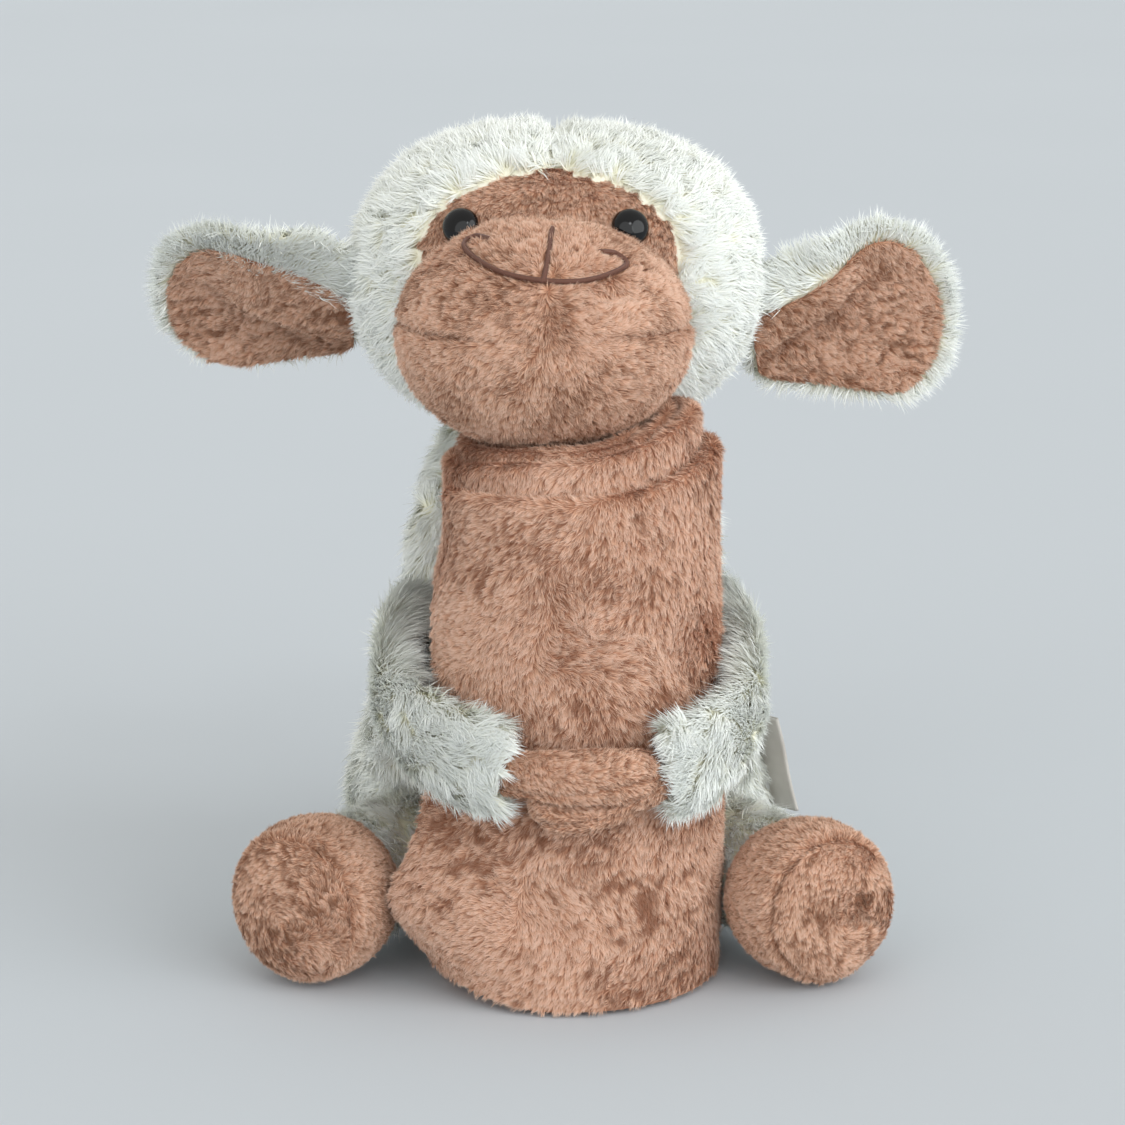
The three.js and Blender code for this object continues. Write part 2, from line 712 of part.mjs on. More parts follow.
// Care label: a strip folded double, its open end sewn into the side seam of the body
function label() {
  const half = labelThickness + labelFold / 2;
  const hairpin = new THREE.Shape();
  hairpin.moveTo(0, -half).lineTo(labelLength, -half);
  hairpin.absarc(labelLength, 0, half, -Math.PI / 2, Math.PI / 2, false);
  hairpin.lineTo(0, half).lineTo(0, labelFold / 2).lineTo(labelLength, labelFold / 2);
  hairpin.absarc(labelLength, 0, labelFold / 2, Math.PI / 2, -Math.PI / 2, true);
  hairpin.lineTo(0, -labelFold / 2).closePath();
  const options = { depth: labelHeight, bevelEnabled: false, curveSegments: 6 };
  const strip = new THREE.ExtrudeGeometry(hairpin, options);
  const sideX = hipRadius * Math.sqrt(1 - (labelY / hipDepth) ** 2) - labelTuck;
  strip.rotateZ(radians(labelTurn)).rotateY(radians(labelLean)).translate(sideX, labelY, labelZ);
  piece("care_label", solid(strip).subtract(pear(-labelGap, 0, neckHeight)), satinGrey);
}

blanketRoll();
body();
head();
eyes();
mouth();
earPair();
armPair();
legPair();
label();

export default lamb;
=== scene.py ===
import itertools
import math

import bmesh
import bpy
import numpy as np
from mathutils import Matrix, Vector


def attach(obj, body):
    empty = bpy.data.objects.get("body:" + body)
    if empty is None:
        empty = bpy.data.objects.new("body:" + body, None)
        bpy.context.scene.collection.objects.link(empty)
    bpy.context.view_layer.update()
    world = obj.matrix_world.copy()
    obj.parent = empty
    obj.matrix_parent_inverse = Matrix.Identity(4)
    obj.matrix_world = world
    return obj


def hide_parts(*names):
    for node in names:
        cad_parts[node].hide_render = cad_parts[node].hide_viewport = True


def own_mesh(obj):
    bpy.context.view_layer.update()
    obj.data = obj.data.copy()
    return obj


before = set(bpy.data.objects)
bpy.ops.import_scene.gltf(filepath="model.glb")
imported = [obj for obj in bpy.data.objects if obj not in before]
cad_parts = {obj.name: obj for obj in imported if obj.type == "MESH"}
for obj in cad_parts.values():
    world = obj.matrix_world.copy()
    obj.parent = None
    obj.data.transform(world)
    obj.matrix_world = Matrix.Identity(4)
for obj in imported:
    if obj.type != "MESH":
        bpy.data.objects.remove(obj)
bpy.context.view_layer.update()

# Lengths in this script are millimetres; meshes are made in metres
MM = 0.001
QUICK = 1.0
UP = np.array([0.0, 0.0, 1.0])

# The side of the roll, as an angle round it, that the lamb's right arm presses in
DENT = {"at": 195, "spread": 42}

# Sizes that the part's source gives to the same pieces
ROLL = {"x": 2.0, "core": 8.0, "pitch": 7.2, "height": 175.0, "tail": 205.0, "length": 1000.0}
CORE_SHARE = 0.5 + ROLL["core"] / ROLL["pitch"]
TURNS = math.sqrt(CORE_SHARE**2 + ROLL["length"] / (math.pi * ROLL["pitch"])) - CORE_SHARE
ROLL["radius"] = ROLL["core"] + ROLL["pitch"] * (TURNS + 1)
ROLL["y"] = -(39.0 + 0.6 + ROLL["radius"] - ROLL["pitch"] * (450 - ROLL["tail"]) / 360)
HEAD = np.array([-2.0, -19.0, 222.0])
HEAD_HALF = np.array([70.0, 62.0, 53.0])
HEAD_SQUARE = 2.4
HEAD_FLOOR = 177.0
MUZZLE = np.array([-6.0, -88.0, 213.5])
MUZZLE_HALF = np.array([48.5, 43.0, 37.5])
MUZZLE_SQUARE = 2.05
MUZZLE_SEAM = 217.5
FACE = {"x": -4.5, "z": 235.0, "wide": 42.0, "high": 26.0}


def off_roll(p):
    """How far points are from the middle line of the roll."""
    return np.hypot(p[..., 0] - ROLL["x"], p[..., 1] - ROLL["y"])


# Numbers and noise

def unit(v):
    return v / np.maximum(np.linalg.norm(v, axis=-1, keepdims=True), 1e-9)


def smooth(low, high, x):
    t = np.clip((x - low) / (high - low), 0.0, 1.0)
    return t * t * (3.0 - 2.0 * t)


def hill(x, at, half):
    """A smooth hill of height 1 round a place."""
    return np.exp(-(((x - at) / half) ** 2))


def hashed(cells, seed):
    """An even random number from 0 to 1 for each whole-number cell."""
    c = np.asarray(cells).astype(np.int64)
    n = (c[..., 0] * 73856093) ^ (c[..., 1] * 19349663) ^ (c[..., 2] * 83492791) ^ (seed * 2654435)
    for multiplier in (1103515245, 1597334677):
        n = (n ^ (n >> 15)) & 0x7FFFFFFF
        n = (n * multiplier + 12345) & 0x7FFFFFFF
    return ((n >> 7) & 0xFFFFFF) / float(0xFFFFFF)


def noise(p, size, seed):
    """Smooth noise from -1 to 1 with bumps of that size."""
    q = np.asarray(p) / size
    base = np.floor(q)
    f = q - base
    f = f * f * (3.0 - 2.0 * f)
    total = np.zeros(q.shape[:-1])
    for corner in itertools.product((0, 1), repeat=3):
        share = np.prod(np.where(np.array(corner) == 1, f, 1.0 - f), axis=-1)
        total += share * hashed(base + corner, seed)
    return 2.0 * total - 1.0


def noise_vector(p, size, seed):
    return np.stack([noise(p, size, seed + k) for k in range(3)], axis=-1)


def tufts(p, size, seed):
    """The nearest tuft centre of each point, and three random numbers for each tuft."""
    cell = np.floor(p / size)
    best = np.full(len(p), np.inf)
    centre = np.zeros_like(p)
    marks = np.zeros_like(p)
    for step in itertools.product((-1, 0, 1), repeat=3):
        c = cell + step
        mark = np.stack([hashed(c, seed + k) for k in range(3)], axis=-1)
        spot = (c + mark) * size
        far = ((p - spot) ** 2).sum(axis=1)
        closer = far < best
        best[closer] = far[closer]
        centre[closer] = spot[closer]
        marks[closer] = mark[closer]
    return centre, marks


def curve_through(points, count):
    """A smooth curve of that many points through the given ones."""
    p = np.asarray(points, float)
    padded = np.vstack([p[:1], p, p[-1:]])
    t = np.linspace(0, len(p) - 1, count)
    i = np.minimum(t.astype(int), len(p) - 2)
    f = (t - i)[:, None]
    a, b, c, d = padded[i], padded[i + 1], padded[i + 2], padded[i + 3]
    v0, v1 = (c - a) / 2, (d - b) / 2
    return b + v0 * f + (3 * (c - b) - 2 * v0 - v1) * f**2 + (2 * (b - c) + v0 + v1) * f**3


# Meshes

def make_object(name, verts, faces, material):
    mesh = bpy.data.meshes.new(name)
    mesh.from_pydata((np.asarray(verts) * MM).tolist(), [], [list(map(int, f)) for f in faces])
    mesh.validate()
    obj = bpy.data.objects.new(name, mesh)
    bpy.context.scene.collection.objects.link(obj)
    bm = bmesh.new()
    bm.from_mesh(mesh)
    bmesh.ops.remove_doubles(bm, verts=bm.verts, dist=1e-6)
    bmesh.ops.recalc_face_normals(bm, faces=bm.faces)
    bm.to_mesh(mesh)
    bm.free()
    mesh.polygons.foreach_set("use_smooth", [True] * len(mesh.polygons))
    mesh.materials.append(material)
    return obj


def grid_faces(rows, columns):
    """Four-sided faces between rows of points that are closed rings."""
    faces = []
    for r in range(rows - 1):
        for c in range(columns):
            n = (c + 1) % columns
            faces.append((r * columns + c, r * columns + n, (r + 1) * columns + n, (r + 1) * columns + c))
    return faces


def cap_faces(rows, columns):
    """Fans that close both ends of such rows; their two middle points come after the rows."""
    first, last = rows * columns, (rows - 1) * columns
    faces = []
    for c in range(columns):
        n = (c + 1) % columns
        faces += [(n, c, first), (last + c, last + n, first + 1)]
    return faces


def strip_faces(rows, columns):
    """Faces that close both ends of rows that run along a strip and back on its other side."""
    last = (rows - 1) * columns
    faces = []
    for i in range(columns // 2 - 1):
        j = columns - 1 - i
        faces += [(i, j, j - 1, i + 1), (last + i, last + i + 1, last + j - 1, last + j)]
    return faces


def grid_object(name, grid, material):
    """A mesh from rows of points that are closed rings, with both ends capped."""
    rows, columns = grid.shape[:2]
    ends = np.stack([grid[0].mean(axis=0), grid[-1].mean(axis=0)])
    verts = np.vstack([grid.reshape(-1, 3), ends])
    return make_object(name, verts, grid_faces(rows, columns) + cap_faces(rows, columns), material)


def ball_grid(centre, half, square, rows, columns):
    """A ball that is stretched to three half sizes and made more or less square."""
    lat = np.linspace(-math.pi / 2 + 0.02, math.pi / 2 - 0.02, rows)[:, None]
    lon = np.linspace(0, 2 * math.pi, columns, endpoint=False)[None, :]
    d = np.stack([np.cos(lat) * np.cos(lon), np.cos(lat) * np.sin(lon), np.sin(lat) + 0 * lon], axis=-1)
    d = d / (np.abs(d) ** square).sum(axis=-1, keepdims=True) ** (1 / square)
    return centre + d * half


def tube_grid(centres, across, up, columns, square=2.0):
    """Rings round a line of centres, with their half sizes as vectors."""
    turn = np.linspace(0, 2 * math.pi, columns, endpoint=False)
    c, s = np.cos(turn), np.sin(turn)
    size = (np.abs(c) ** square + np.abs(s) ** square) ** (-1 / square)
    c, s = c * size, s * size
    return centres[:, None, :] + c[None, :, None] * across[:, None, :] + s[None, :, None] * up[:, None, :]


def values_of(mesh, what):
    """The points or the normals of a mesh, one row each."""
    flat = np.empty(len(mesh.vertices) * 3, np.float32)
    mesh.vertices.foreach_get(what, flat)
    return flat.reshape(-1, 3)


def put_points(obj, points):
    obj.data.vertices.foreach_set("co", points.astype(np.float32).ravel())
    obj.data.update()
    return obj


def inflate(obj, amount):
    """Moves each point of a mesh along its normal by a number of millimetres."""
    co, normals = values_of(obj.data, "co"), values_of(obj.data, "normal")
    return put_points(obj, co + normals * np.asarray(amount(co / MM))[:, None] * MM)


def above_floor(obj, least):
    """Lifts what reaches under the floor up to it."""
    co = values_of(obj.data, "co")
    co[:, 2] = np.maximum(co[:, 2], least * MM)
    return put_points(obj, co)


def scatter(obj, per_mm2, seed, keep=None):
    """Random points on a mesh with their normals, in millimetres; keep picks among them."""
    rng = np.random.default_rng(seed)
    mesh = obj.data
    mesh.calc_loop_triangles()
    tris = np.empty(len(mesh.loop_triangles) * 3, np.int32)
    mesh.loop_triangles.foreach_get("vertices", tris)
    tris = tris.reshape(-1, 3)
    co, no = values_of(mesh, "co") / MM, values_of(mesh, "normal")
    a, b, c = co[tris[:, 0]], co[tris[:, 1]], co[tris[:, 2]]
    area = np.linalg.norm(np.cross(b - a, c - a), axis=1) / 2
    count = int(area.sum() * per_mm2 * QUICK)
    pick = np.searchsorted(np.cumsum(area) / area.sum(), rng.random(count))
    pick = np.minimum(pick, len(tris) - 1)
    u, v = rng.random(count), rng.random(count)
    over = u + v > 1
    u[over], v[over] = 1 - u[over], 1 - v[over]
    w = np.stack([1 - u - v, u, v], axis=1)
    roots = (co[tris[pick]] * w[:, :, None]).sum(axis=1)
    normals = unit((no[tris[pick]] * w[:, :, None]).sum(axis=1))
    if keep is not None:
        kept = keep(roots, normals)
        roots, normals = roots[kept], normals[kept]
    return roots, normals


def strand_object(name, rows, tone, widths, material):
    """Flat tapering strands: rows are the points from root to tip, tone is one number a strand."""
    count, steps = len(rows[0]), len(rows) - 1
    verts, along = [], []
    for k in range(steps):
        verts += [rows[k] - widths[k], rows[k] + widths[k]]
        along += [k / steps, k / steps]
    verts.append(rows[-1])
    along.append(1.0)
    per = 2 * steps + 1
    co = np.stack(verts, axis=1).reshape(-1, 3) * MM
    pattern, sizes = [], []
    for k in range(steps - 1):
        pattern += [2 * k, 2 * k + 1, 2 * k + 3, 2 * k + 2]
        sizes.append(4)
    pattern += [2 * steps - 2, 2 * steps - 1, 2 * steps]
    sizes.append(3)
    loops = (np.arange(count)[:, None] * per + np.array(pattern)).ravel()
    totals = np.tile(sizes, count)
    mesh = bpy.data.meshes.new(name)
    mesh.vertices.add(count * per)
    mesh.loops.add(len(loops))
    mesh.polygons.add(len(totals))
    mesh.vertices.foreach_set("co", co.astype(np.float32).ravel())
    mesh.loops.foreach_set("vertex_index", loops.astype(np.int32))
    starts = np.concatenate([[0], np.cumsum(totals)[:-1]])
    mesh.polygons.foreach_set("loop_start", starts.astype(np.int32))
    mesh.update(calc_edges=True)
    mesh.polygons.foreach_set("use_smooth", np.ones(len(totals), bool))
    uv = mesh.uv_layers.new(name="OFBake")
    u = np.repeat(np.clip(tone, 0.01, 0.99), len(pattern))
    v = np.tile(np.clip(np.array(along), 0.01, 0.99)[pattern], count)
    uv.data.foreach_set("uv", np.stack([u, v], axis=1).astype(np.float32).ravel())
    mesh.materials.append(material)
    obj = bpy.data.objects.new(name, mesh)
    bpy.context.scene.collection.objects.link(obj)
    return obj


def sideways(direction, normal, seed, loose):
    """A width direction across each strand that turns its flat side more or less outwards."""
    rng = np.random.default_rng(seed)
    facing = normal + loose * rng.normal(size=normal.shape)
    return unit(np.cross(direction, facing))


def across(vector, normal):
    """The part of a vector that lies along the surface."""
    return vector - normal * (vector * normal).sum(axis=1, keepdims=True)


WOOL_WIDTH = 0.42
WOOL_WILD = 0.36
PILE_GATHER = 0.45
# How strongly streaks along the nap lighten and darken the velour pile: painted sheen and painted shade.
STREAKS = 0.9


def wool(name, roots, normals, comb, seed, length, tuft=5.0, pull=0.2, lift=0.5):
    """Long soft strands that lie in tufts, each tuft leaning its own way; a few stand up."""
    rng = np.random.default_rng(seed)
    centre, marks = tufts(roots, tuft, seed)
    _, big_marks = tufts(roots, tuft * 2.3, seed + 9)
    lean = comb + WOOL_WILD * (2 * marks - 1) + 0.5 * WOOL_WILD * (2 * big_marks - 1)
    lean = unit(across(lean, normals)) + across(0.2 * rng.normal(size=roots.shape), normals)
    size = length * (0.85 + 0.25 * marks[:, :1]) * (0.72 + 0.36 * rng.random((len(roots), 1)))
    standing = rng.random((len(roots), 1)) ** 7
    gather = across(centre - roots, normals) * pull
    first = unit((lift + 0.9 * standing) * normals + lean)
    second = unit((lift - 0.38 + 0.7 * standing) * normals + lean)
    middle = roots + first * size * 0.5 + gather * 0.4
    tip = middle + second * size * 0.5 + gather * 0.6
    side = sideways(tip - roots, normals, seed + 1, 0.14)
    thick = WOOL_WIDTH * (0.75 + 0.5 * rng.random((len(roots), 1))) / 2
    tone = 0.5 + 0.2 * (2 * marks[:, 1] - 1) + 0.25 * (2 * rng.random(len(roots)) - 1)
    widths = [side * thick, side * thick * 0.8]
    return strand_object(name, [roots, middle, tip], tone, widths, MATERIALS["wool"])


def velour(name, roots, normals, nap, seed, patch, length=2.8, width=0.3, tuft=1.9, material="velour"):
    """Short pile whose locks lean along the nap; brushed patches look lighter or darker. Its tone varies at
    random, and the lighter and darker patches and streaks are also painted sheen and painted shade of the
    brushed nap; patch adds each piece's own painted tone on top.
    """
    rng = np.random.default_rng(seed)
    centre, marks = tufts(roots, tuft, seed)
    lean = nap + 0.42 * (2 * marks - 1) + 0.16 * rng.normal(size=roots.shape)
    lean = across(lean, normals)
    size = length * (0.8 + 0.4 * marks[:, :1]) * (0.75 + 0.35 * rng.random((len(roots), 1)))
    tip = roots + unit(normals * 0.35 + lean) * size + across(centre - roots, normals) * PILE_GATHER
    side = sideways(tip - roots, normals, seed + 1, 0.35)
    thick = width * (0.8 + 0.4 * rng.random((len(roots), 1))) / 2
    grain = unit(nap)
    stretched = roots - 0.75 * grain * (roots * grain).sum(axis=1, keepdims=True)
    streaks = noise(stretched, 1.6, seed + 3) + 0.7 * noise(stretched, 3.6, seed + 4)
    tone = 0.55 + 0.2 * (2 * marks[:, 1] - 1) + 0.14 * (2 * rng.random(len(roots)) - 1) + STREAKS * streaks
    return strand_object(name, [roots, tip], tone + patch, [side * thick], MATERIALS[material])


def brushed(base, strength, roots, normals, size, seed):
    """The direction of a nap along the surface, turned this way and that in soft swirls."""
    return unit(across(base + strength * noise_vector(roots, size, seed), normals))


# Materials

def srgb(red, green, blue):
    """A colour as it is read off a picture, as the light values that a shader takes."""
    lin = [c / 255 for c in (red, green, blue)]
    return tuple(c / 12.92 if c <= 0.04045 else ((c + 0.055) / 1.055) ** 2.4 for c in lin) + (1.0,)


def new_material(name):
    material = bpy.data.materials.new(name)
    material.use_nodes = True
    nodes = material.node_tree.nodes
    shader = nodes["Principled BSDF"]
    return material, nodes, material.node_tree.links, shader


def ramp_node(nodes, stops):
    ramp = nodes.new("ShaderNodeValToRGB")
    elements = ramp.color_ramp.elements
    while len(elements) < len(stops):
        elements.new(0.5)
    for element, (at, colour) in zip(elements, stops):
        element.position = at
        element.color = colour
    return ramp


def set_all(node, values):
    for socket, value in values.items():
        node.inputs[socket].default_value = value


def texture_node(material, kind, scale):
    """A procedural texture that is fixed to the object."""
    nodes, links = material.node_tree.nodes, material.node_tree.links
    texture = nodes.new(kind)
    texture.inputs["Scale"].default_value = scale
    links.new(nodes.new("ShaderNodeTexCoord").outputs["Object"], texture.inputs["Vector"])
    return texture


def textured(name, kind, scale, stops, values):
    """A material whose colour follows a texture, and that texture."""
    material, nodes, links, shader = new_material(name)
    texture = texture_node(material, kind, scale)
    colour = ramp_node(nodes, stops)
    links.new(texture.outputs["Fac"], colour.inputs["Fac"])
    links.new(colour.outputs["Color"], shader.inputs["Base Color"])
    set_all(shader, values)
    return material, texture


def add_bump(material, height, strength, distance):
    nodes, links = material.node_tree.nodes, material.node_tree.links
    bump = nodes.new("ShaderNodeBump")
    set_all(bump, {"Strength": strength, "Distance": distance})
    links.new(height.outputs["Fac"], bump.inputs["Height"])
    links.new(bump.outputs["Normal"], nodes["Principled BSDF"].inputs["Normal"])


def strand_material(name, along, tones, roughness, sheen, tint):
    """Strand colour from root to tip, made lighter or darker strand by strand; the root colour, darker and
    more saturated than the tip, is painted shade deep in the pile.
    """
    material, nodes, links, shader = new_material(name)
    uv = nodes.new("ShaderNodeUVMap")
    uv.uv_map = "OFBake"
    split = nodes.new("ShaderNodeSeparateXYZ")
    links.new(uv.outputs["UV"], split.inputs["Vector"])
    root_to_tip = ramp_node(nodes, along)
    links.new(split.outputs["Y"], root_to_tip.inputs["Fac"])
    by_strand = ramp_node(nodes, tones)
    links.new(split.outputs["X"], by_strand.inputs["Fac"])
    mix = nodes.new("ShaderNodeMix")
    mix.data_type = "RGBA"
    mix.blend_type = "MULTIPLY"
    mix.inputs["Factor"].default_value = 1.0
    links.new(root_to_tip.outputs["Color"], mix.inputs["A"])
    links.new(by_strand.outputs["Color"], mix.inputs["B"])
    links.new(mix.outputs["Result"], shader.inputs["Base Color"])
    set_all(shader, {"Roughness": roughness, "Specular IOR Level": 0.25})
    set_all(shader, {"Sheen Weight": sheen, "Sheen Roughness": 0.5, "Sheen Tint": tint})
    return material


def knit_material(name, dark, light, scale):
    """The knitted backing under a pile: mottled colour and a fine bump."""
    stops = [(0.3, dark), (0.7, light)]
    material, fine = textured(name, "ShaderNodeTexNoise", scale, stops, {"Roughness": 0.95})
    fine.inputs["Detail"].default_value = 4.0
    add_bump(material, fine, 0.4, 0.0008)
    return material


def thread_material():
    """Glossy brown embroidery thread with a fine twist."""
    stops = [(0.0, srgb(82, 46, 33)), (1.0, srgb(120, 74, 55))]
    values = {"Roughness": 0.55, "Sheen Weight": 0.2}
    material, twist = textured("thread", "ShaderNodeTexWave", 900.0, stops, values)
    twist.inputs["Distortion"].default_value = 3.0
    return material


def satin_material():
    """Woven satin ribbon: fine cross ribs, a soft shine and a slightly uneven grey."""
    stops = [(0.3, srgb(184, 179, 173)), (0.7, srgb(204, 200, 194))]
    material, _ = textured("satin", "ShaderNodeTexNoise", 90.0, stops, {"Roughness": 0.42})
    ribs = texture_node(material, "ShaderNodeTexWave", 700.0)
    ribs.bands_direction = "Z"
    ribs.inputs["Distortion"].default_value = 0.6
    add_bump(material, ribs, 0.25, 0.0002)
    return material


def eye_material():
    """Glossy black plastic with the faintest moulding marks."""
    stops = [(0.0, srgb(8, 8, 10)), (1.0, srgb(16, 16, 19))]
    values = {"Specular IOR Level": 0.32, "Coat Weight": 0.12, "Coat Roughness": 0.04}
    material, marks = textured("eye_gloss", "ShaderNodeTexNoise", 350.0, stops, values)
    nodes, links = material.node_tree.nodes, material.node_tree.links
    gloss = nodes.new("ShaderNodeMapRange")
    set_all(gloss, {"To Min": 0.06, "To Max": 0.13})
    links.new(marks.outputs["Fac"], gloss.inputs["Value"])
    links.new(gloss.outputs["Result"], nodes["Principled BSDF"].inputs["Roughness"])
    return material


def grey(value):
    return (value, value, value, 1.0)


# The strands' root colours and the knitted backings are painted shade: darker browns, and a creamier white
# for the wool, stand for the shade deep in the pile, while the tips keep the lit colour.
MATERIALS = {
    "wool": strand_material(
        "wool_strands",
        [(0.0, srgb(247, 244, 218)), (0.45, srgb(250, 252, 245)), (1.0, srgb(251, 254, 254))],
        [(0.0, grey(0.93)), (1.0, grey(1.0))],
        0.75, 0.15, srgb(255, 255, 250),
    ),
    "wool_back": knit_material("wool_backing", srgb(245, 242, 219), srgb(251, 249, 234), 420.0),
    "velour": strand_material(
        "velour_strands",
        [(0.0, srgb(190, 138, 109)), (0.5, srgb(228, 183, 155)), (1.0, srgb(249, 222, 203))],
        [(0.0, (0.4, 0.29, 0.23, 1.0)), (0.5, (0.88, 0.83, 0.79, 1.0)), (1.0, grey(1.0))],
        0.7, 0.25, srgb(255, 226, 206),
    ),
    "velour_back": knit_material("velour_backing", srgb(154, 105, 79), srgb(188, 137, 109), 600.0),
    "fleece": strand_material(
        "fleece_strands",
        [(0.0, srgb(190, 138, 109)), (0.5, srgb(228, 183, 156)), (1.0, srgb(250, 224, 206))],
        [(0.0, (0.42, 0.29, 0.23, 1.0)), (0.5, (0.88, 0.83, 0.79, 1.0)), (1.0, grey(1.0))],
        0.7, 0.25, srgb(255, 226, 206),
    ),
    "fleece_back": knit_material("fleece_backing", srgb(154, 105, 79), srgb(190, 139, 111), 600.0),
    "thread": thread_material(),
    "satin": satin_material(),
    "eye": eye_material(),
}


# Head

def on_ball(centre, half, square, x, z):
    """The front of a rounded box at a given x and z."""
    left = 1 - np.abs((x - centre[0]) / half[0]) ** square - np.abs((z - centre[2]) / half[2]) ** square
    return centre[1] - half[1] * np.maximum(left, 0.0) ** (1 / square)


def inside_muzzle(p, grow):
    q = np.abs((p - MUZZLE) / (MUZZLE_HALF + grow))
    return (q**MUZZLE_SQUARE).sum(axis=-1) < 1.0


def in_face(p, grow):
    wide = (p[:, 0] - FACE["x"]) / (FACE["wide"] + grow)
    high = (p[:, 2] - FACE["z"]) / (FACE["high"] + grow)
    return (wide**2 + high**2 < 1) & (p[:, 1] < HEAD[1])


def carried(obj, body):
    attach(obj, body)
    return obj


def padded_skin(obj, body, slot, fill, *nodes):
    carried(obj, body)
    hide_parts(*nodes)


# The seam along the top of the head, where the wool parts
PARTING = HEAD[0] - 1


def make_head():
    grid = ball_grid(HEAD, HEAD_HALF - 3.4, HEAD_SQUARE, rows=64, columns=96)
    seam = hill(grid[..., 0], PARTING, 4.0) * smooth(HEAD[2], HEAD[2] + 40, grid[..., 2])
    grid = grid - unit(grid - HEAD) * (2.4 * seam)[..., None]
    grid[..., 2] = np.maximum(grid[..., 2], HEAD_FLOOR + 0.4)
    skin = grid_object("head_skin", grid, MATERIALS["wool_back"])
    inflate(skin, lambda p: np.where(in_face(p, 1.0) | inside_muzzle(p, 0.0), -4.0, noise(p, 24, 3)))

    def bare(roots, normals):
        hidden = in_face(roots, 0.5) | inside_muzzle(roots, 1.0)
        return ~(hidden | ((roots[:, 2] < HEAD_FLOOR + 1.5) & (normals[:, 2] < -0.5)))

    roots, normals = scatter(skin, 3.2, 11, bare)
    away = unit(across(roots - np.array([FACE["x"], -75.0, 225.0]), normals))
    comb = 0.38 * away - 0.12 * UP
    aside = roots[:, :1] - PARTING
    middle = np.sign(aside) * np.exp(-np.abs(aside) / 6.0)
    comb = comb + middle * np.array([0.35, 0.0, 0.0]) * (roots[:, 2:] > HEAD[2] + 25)
    front = roots[:, 1] < HEAD[1] - 14
    left = roots[:, 0] > HEAD[0]
    parts = (("front", front, 21), ("left", ~front & left, 22), ("right", ~front & ~left, 23))
    for name, part, seed in parts:
        made = wool(f"head_wool_{name}", roots[part], normals[part], comb[part], seed, length=7.8, pull=0.12)
        carried(made, "head")
    padded_skin(skin, "head", "wool_white", 0.85, "head_cover", "head_filling")


def make_face():
    rows = []
    half = HEAD_HALF - 4.4
    turn = np.linspace(0, 2 * math.pi, 72, endpoint=False)
    shares = np.concatenate([np.linspace(0.03, 1.05, 22), np.linspace(1.05, 0.03, 12)])
    for k, r in enumerate(shares):
        x = FACE["x"] + r * FACE["wide"] * np.cos(turn)
        z = FACE["z"] + r * FACE["high"] * np.sin(turn)
        y = on_ball(HEAD, half, HEAD_SQUARE, x, z) + 2.2 * smooth(0.9, 1.05, r)
        rows.append(np.stack([x, y + (0.0 if k < 22 else 1.5), z], axis=1))
    panel = grid_object("face_skin", np.stack(rows), MATERIALS["velour_back"])

    def bare(roots, normals):
        near_eye = np.zeros(len(roots), bool)
        for side in (1, -1):
            near_eye |= np.linalg.norm(roots - eye_seat(side)[0], axis=1) < 6.6
        return (normals[:, 1] < -0.1) & ~near_eye & ~inside_muzzle(roots, 0.0)

    roots, normals = scatter(panel, 15.0, 31, bare)
    nap = 0.9 * brushed(np.array([0.0, -0.2, -1.0]), 0.8, roots, normals, 16, 5)
    patch = 0.05 + 0.3 * noise(roots, 14, 8)
    hairs = velour("face_pile", roots, normals, nap, 32, patch, length=2.4)
    carried(hairs, "head")
    padded_skin(panel, "head", "velour_brown", 0.7, "face_panel")


# Mouth, in the flat before it is laid on the muzzle

MOUTH_Z = 235.5
HALF_SMILE = [(17.5, 8.5), (22, 8.0), (25, 5), (13.75, 1.1)]
SMILE = HALF_SMILE + [(0, 0)] + [(-x, z) for x, z in HALF_SMILE[::-1]]
LIP = [(0, -0.2), (1, 6.5), (1.5, 13)]
MOUTH_TILT = math.radians(-5)
STITCH = {"half": 1.2, "radius": 0.32}


def mouth_path(flat, count):
    p = curve_through(flat, count)
    c, s = math.cos(MOUTH_TILT), math.sin(MOUTH_TILT)
    x = MUZZLE[0] + p[:, 0] * c - p[:, 1] * s
    z = MOUTH_Z + p[:, 0] * s + p[:, 1] * c
    return np.stack([x, on_ball(MUZZLE, MUZZLE_HALF - 1.6, MUZZLE_SQUARE, x, z), z], axis=1)


def from_mouth(p):
    """How far each point is from the stitched mouth."""
    line = np.vstack([mouth_path(SMILE, 90), mouth_path(LIP, 20)])
    best = np.full(len(p), np.inf)
    for q in line:
        best = np.minimum(best, ((p - q) ** 2).sum(axis=1))
    return np.sqrt(best)


def muzzle_seam(p):
    """How deep the side seam pulls the muzzle in; the pile hides it across the front."""
    side = smooth(10, 36, np.abs(p[:, 0] - MUZZLE[0]))
    return hill(p[:, 2], MUZZLE_SEAM, 1.6) * (0.25 + 0.75 * side)


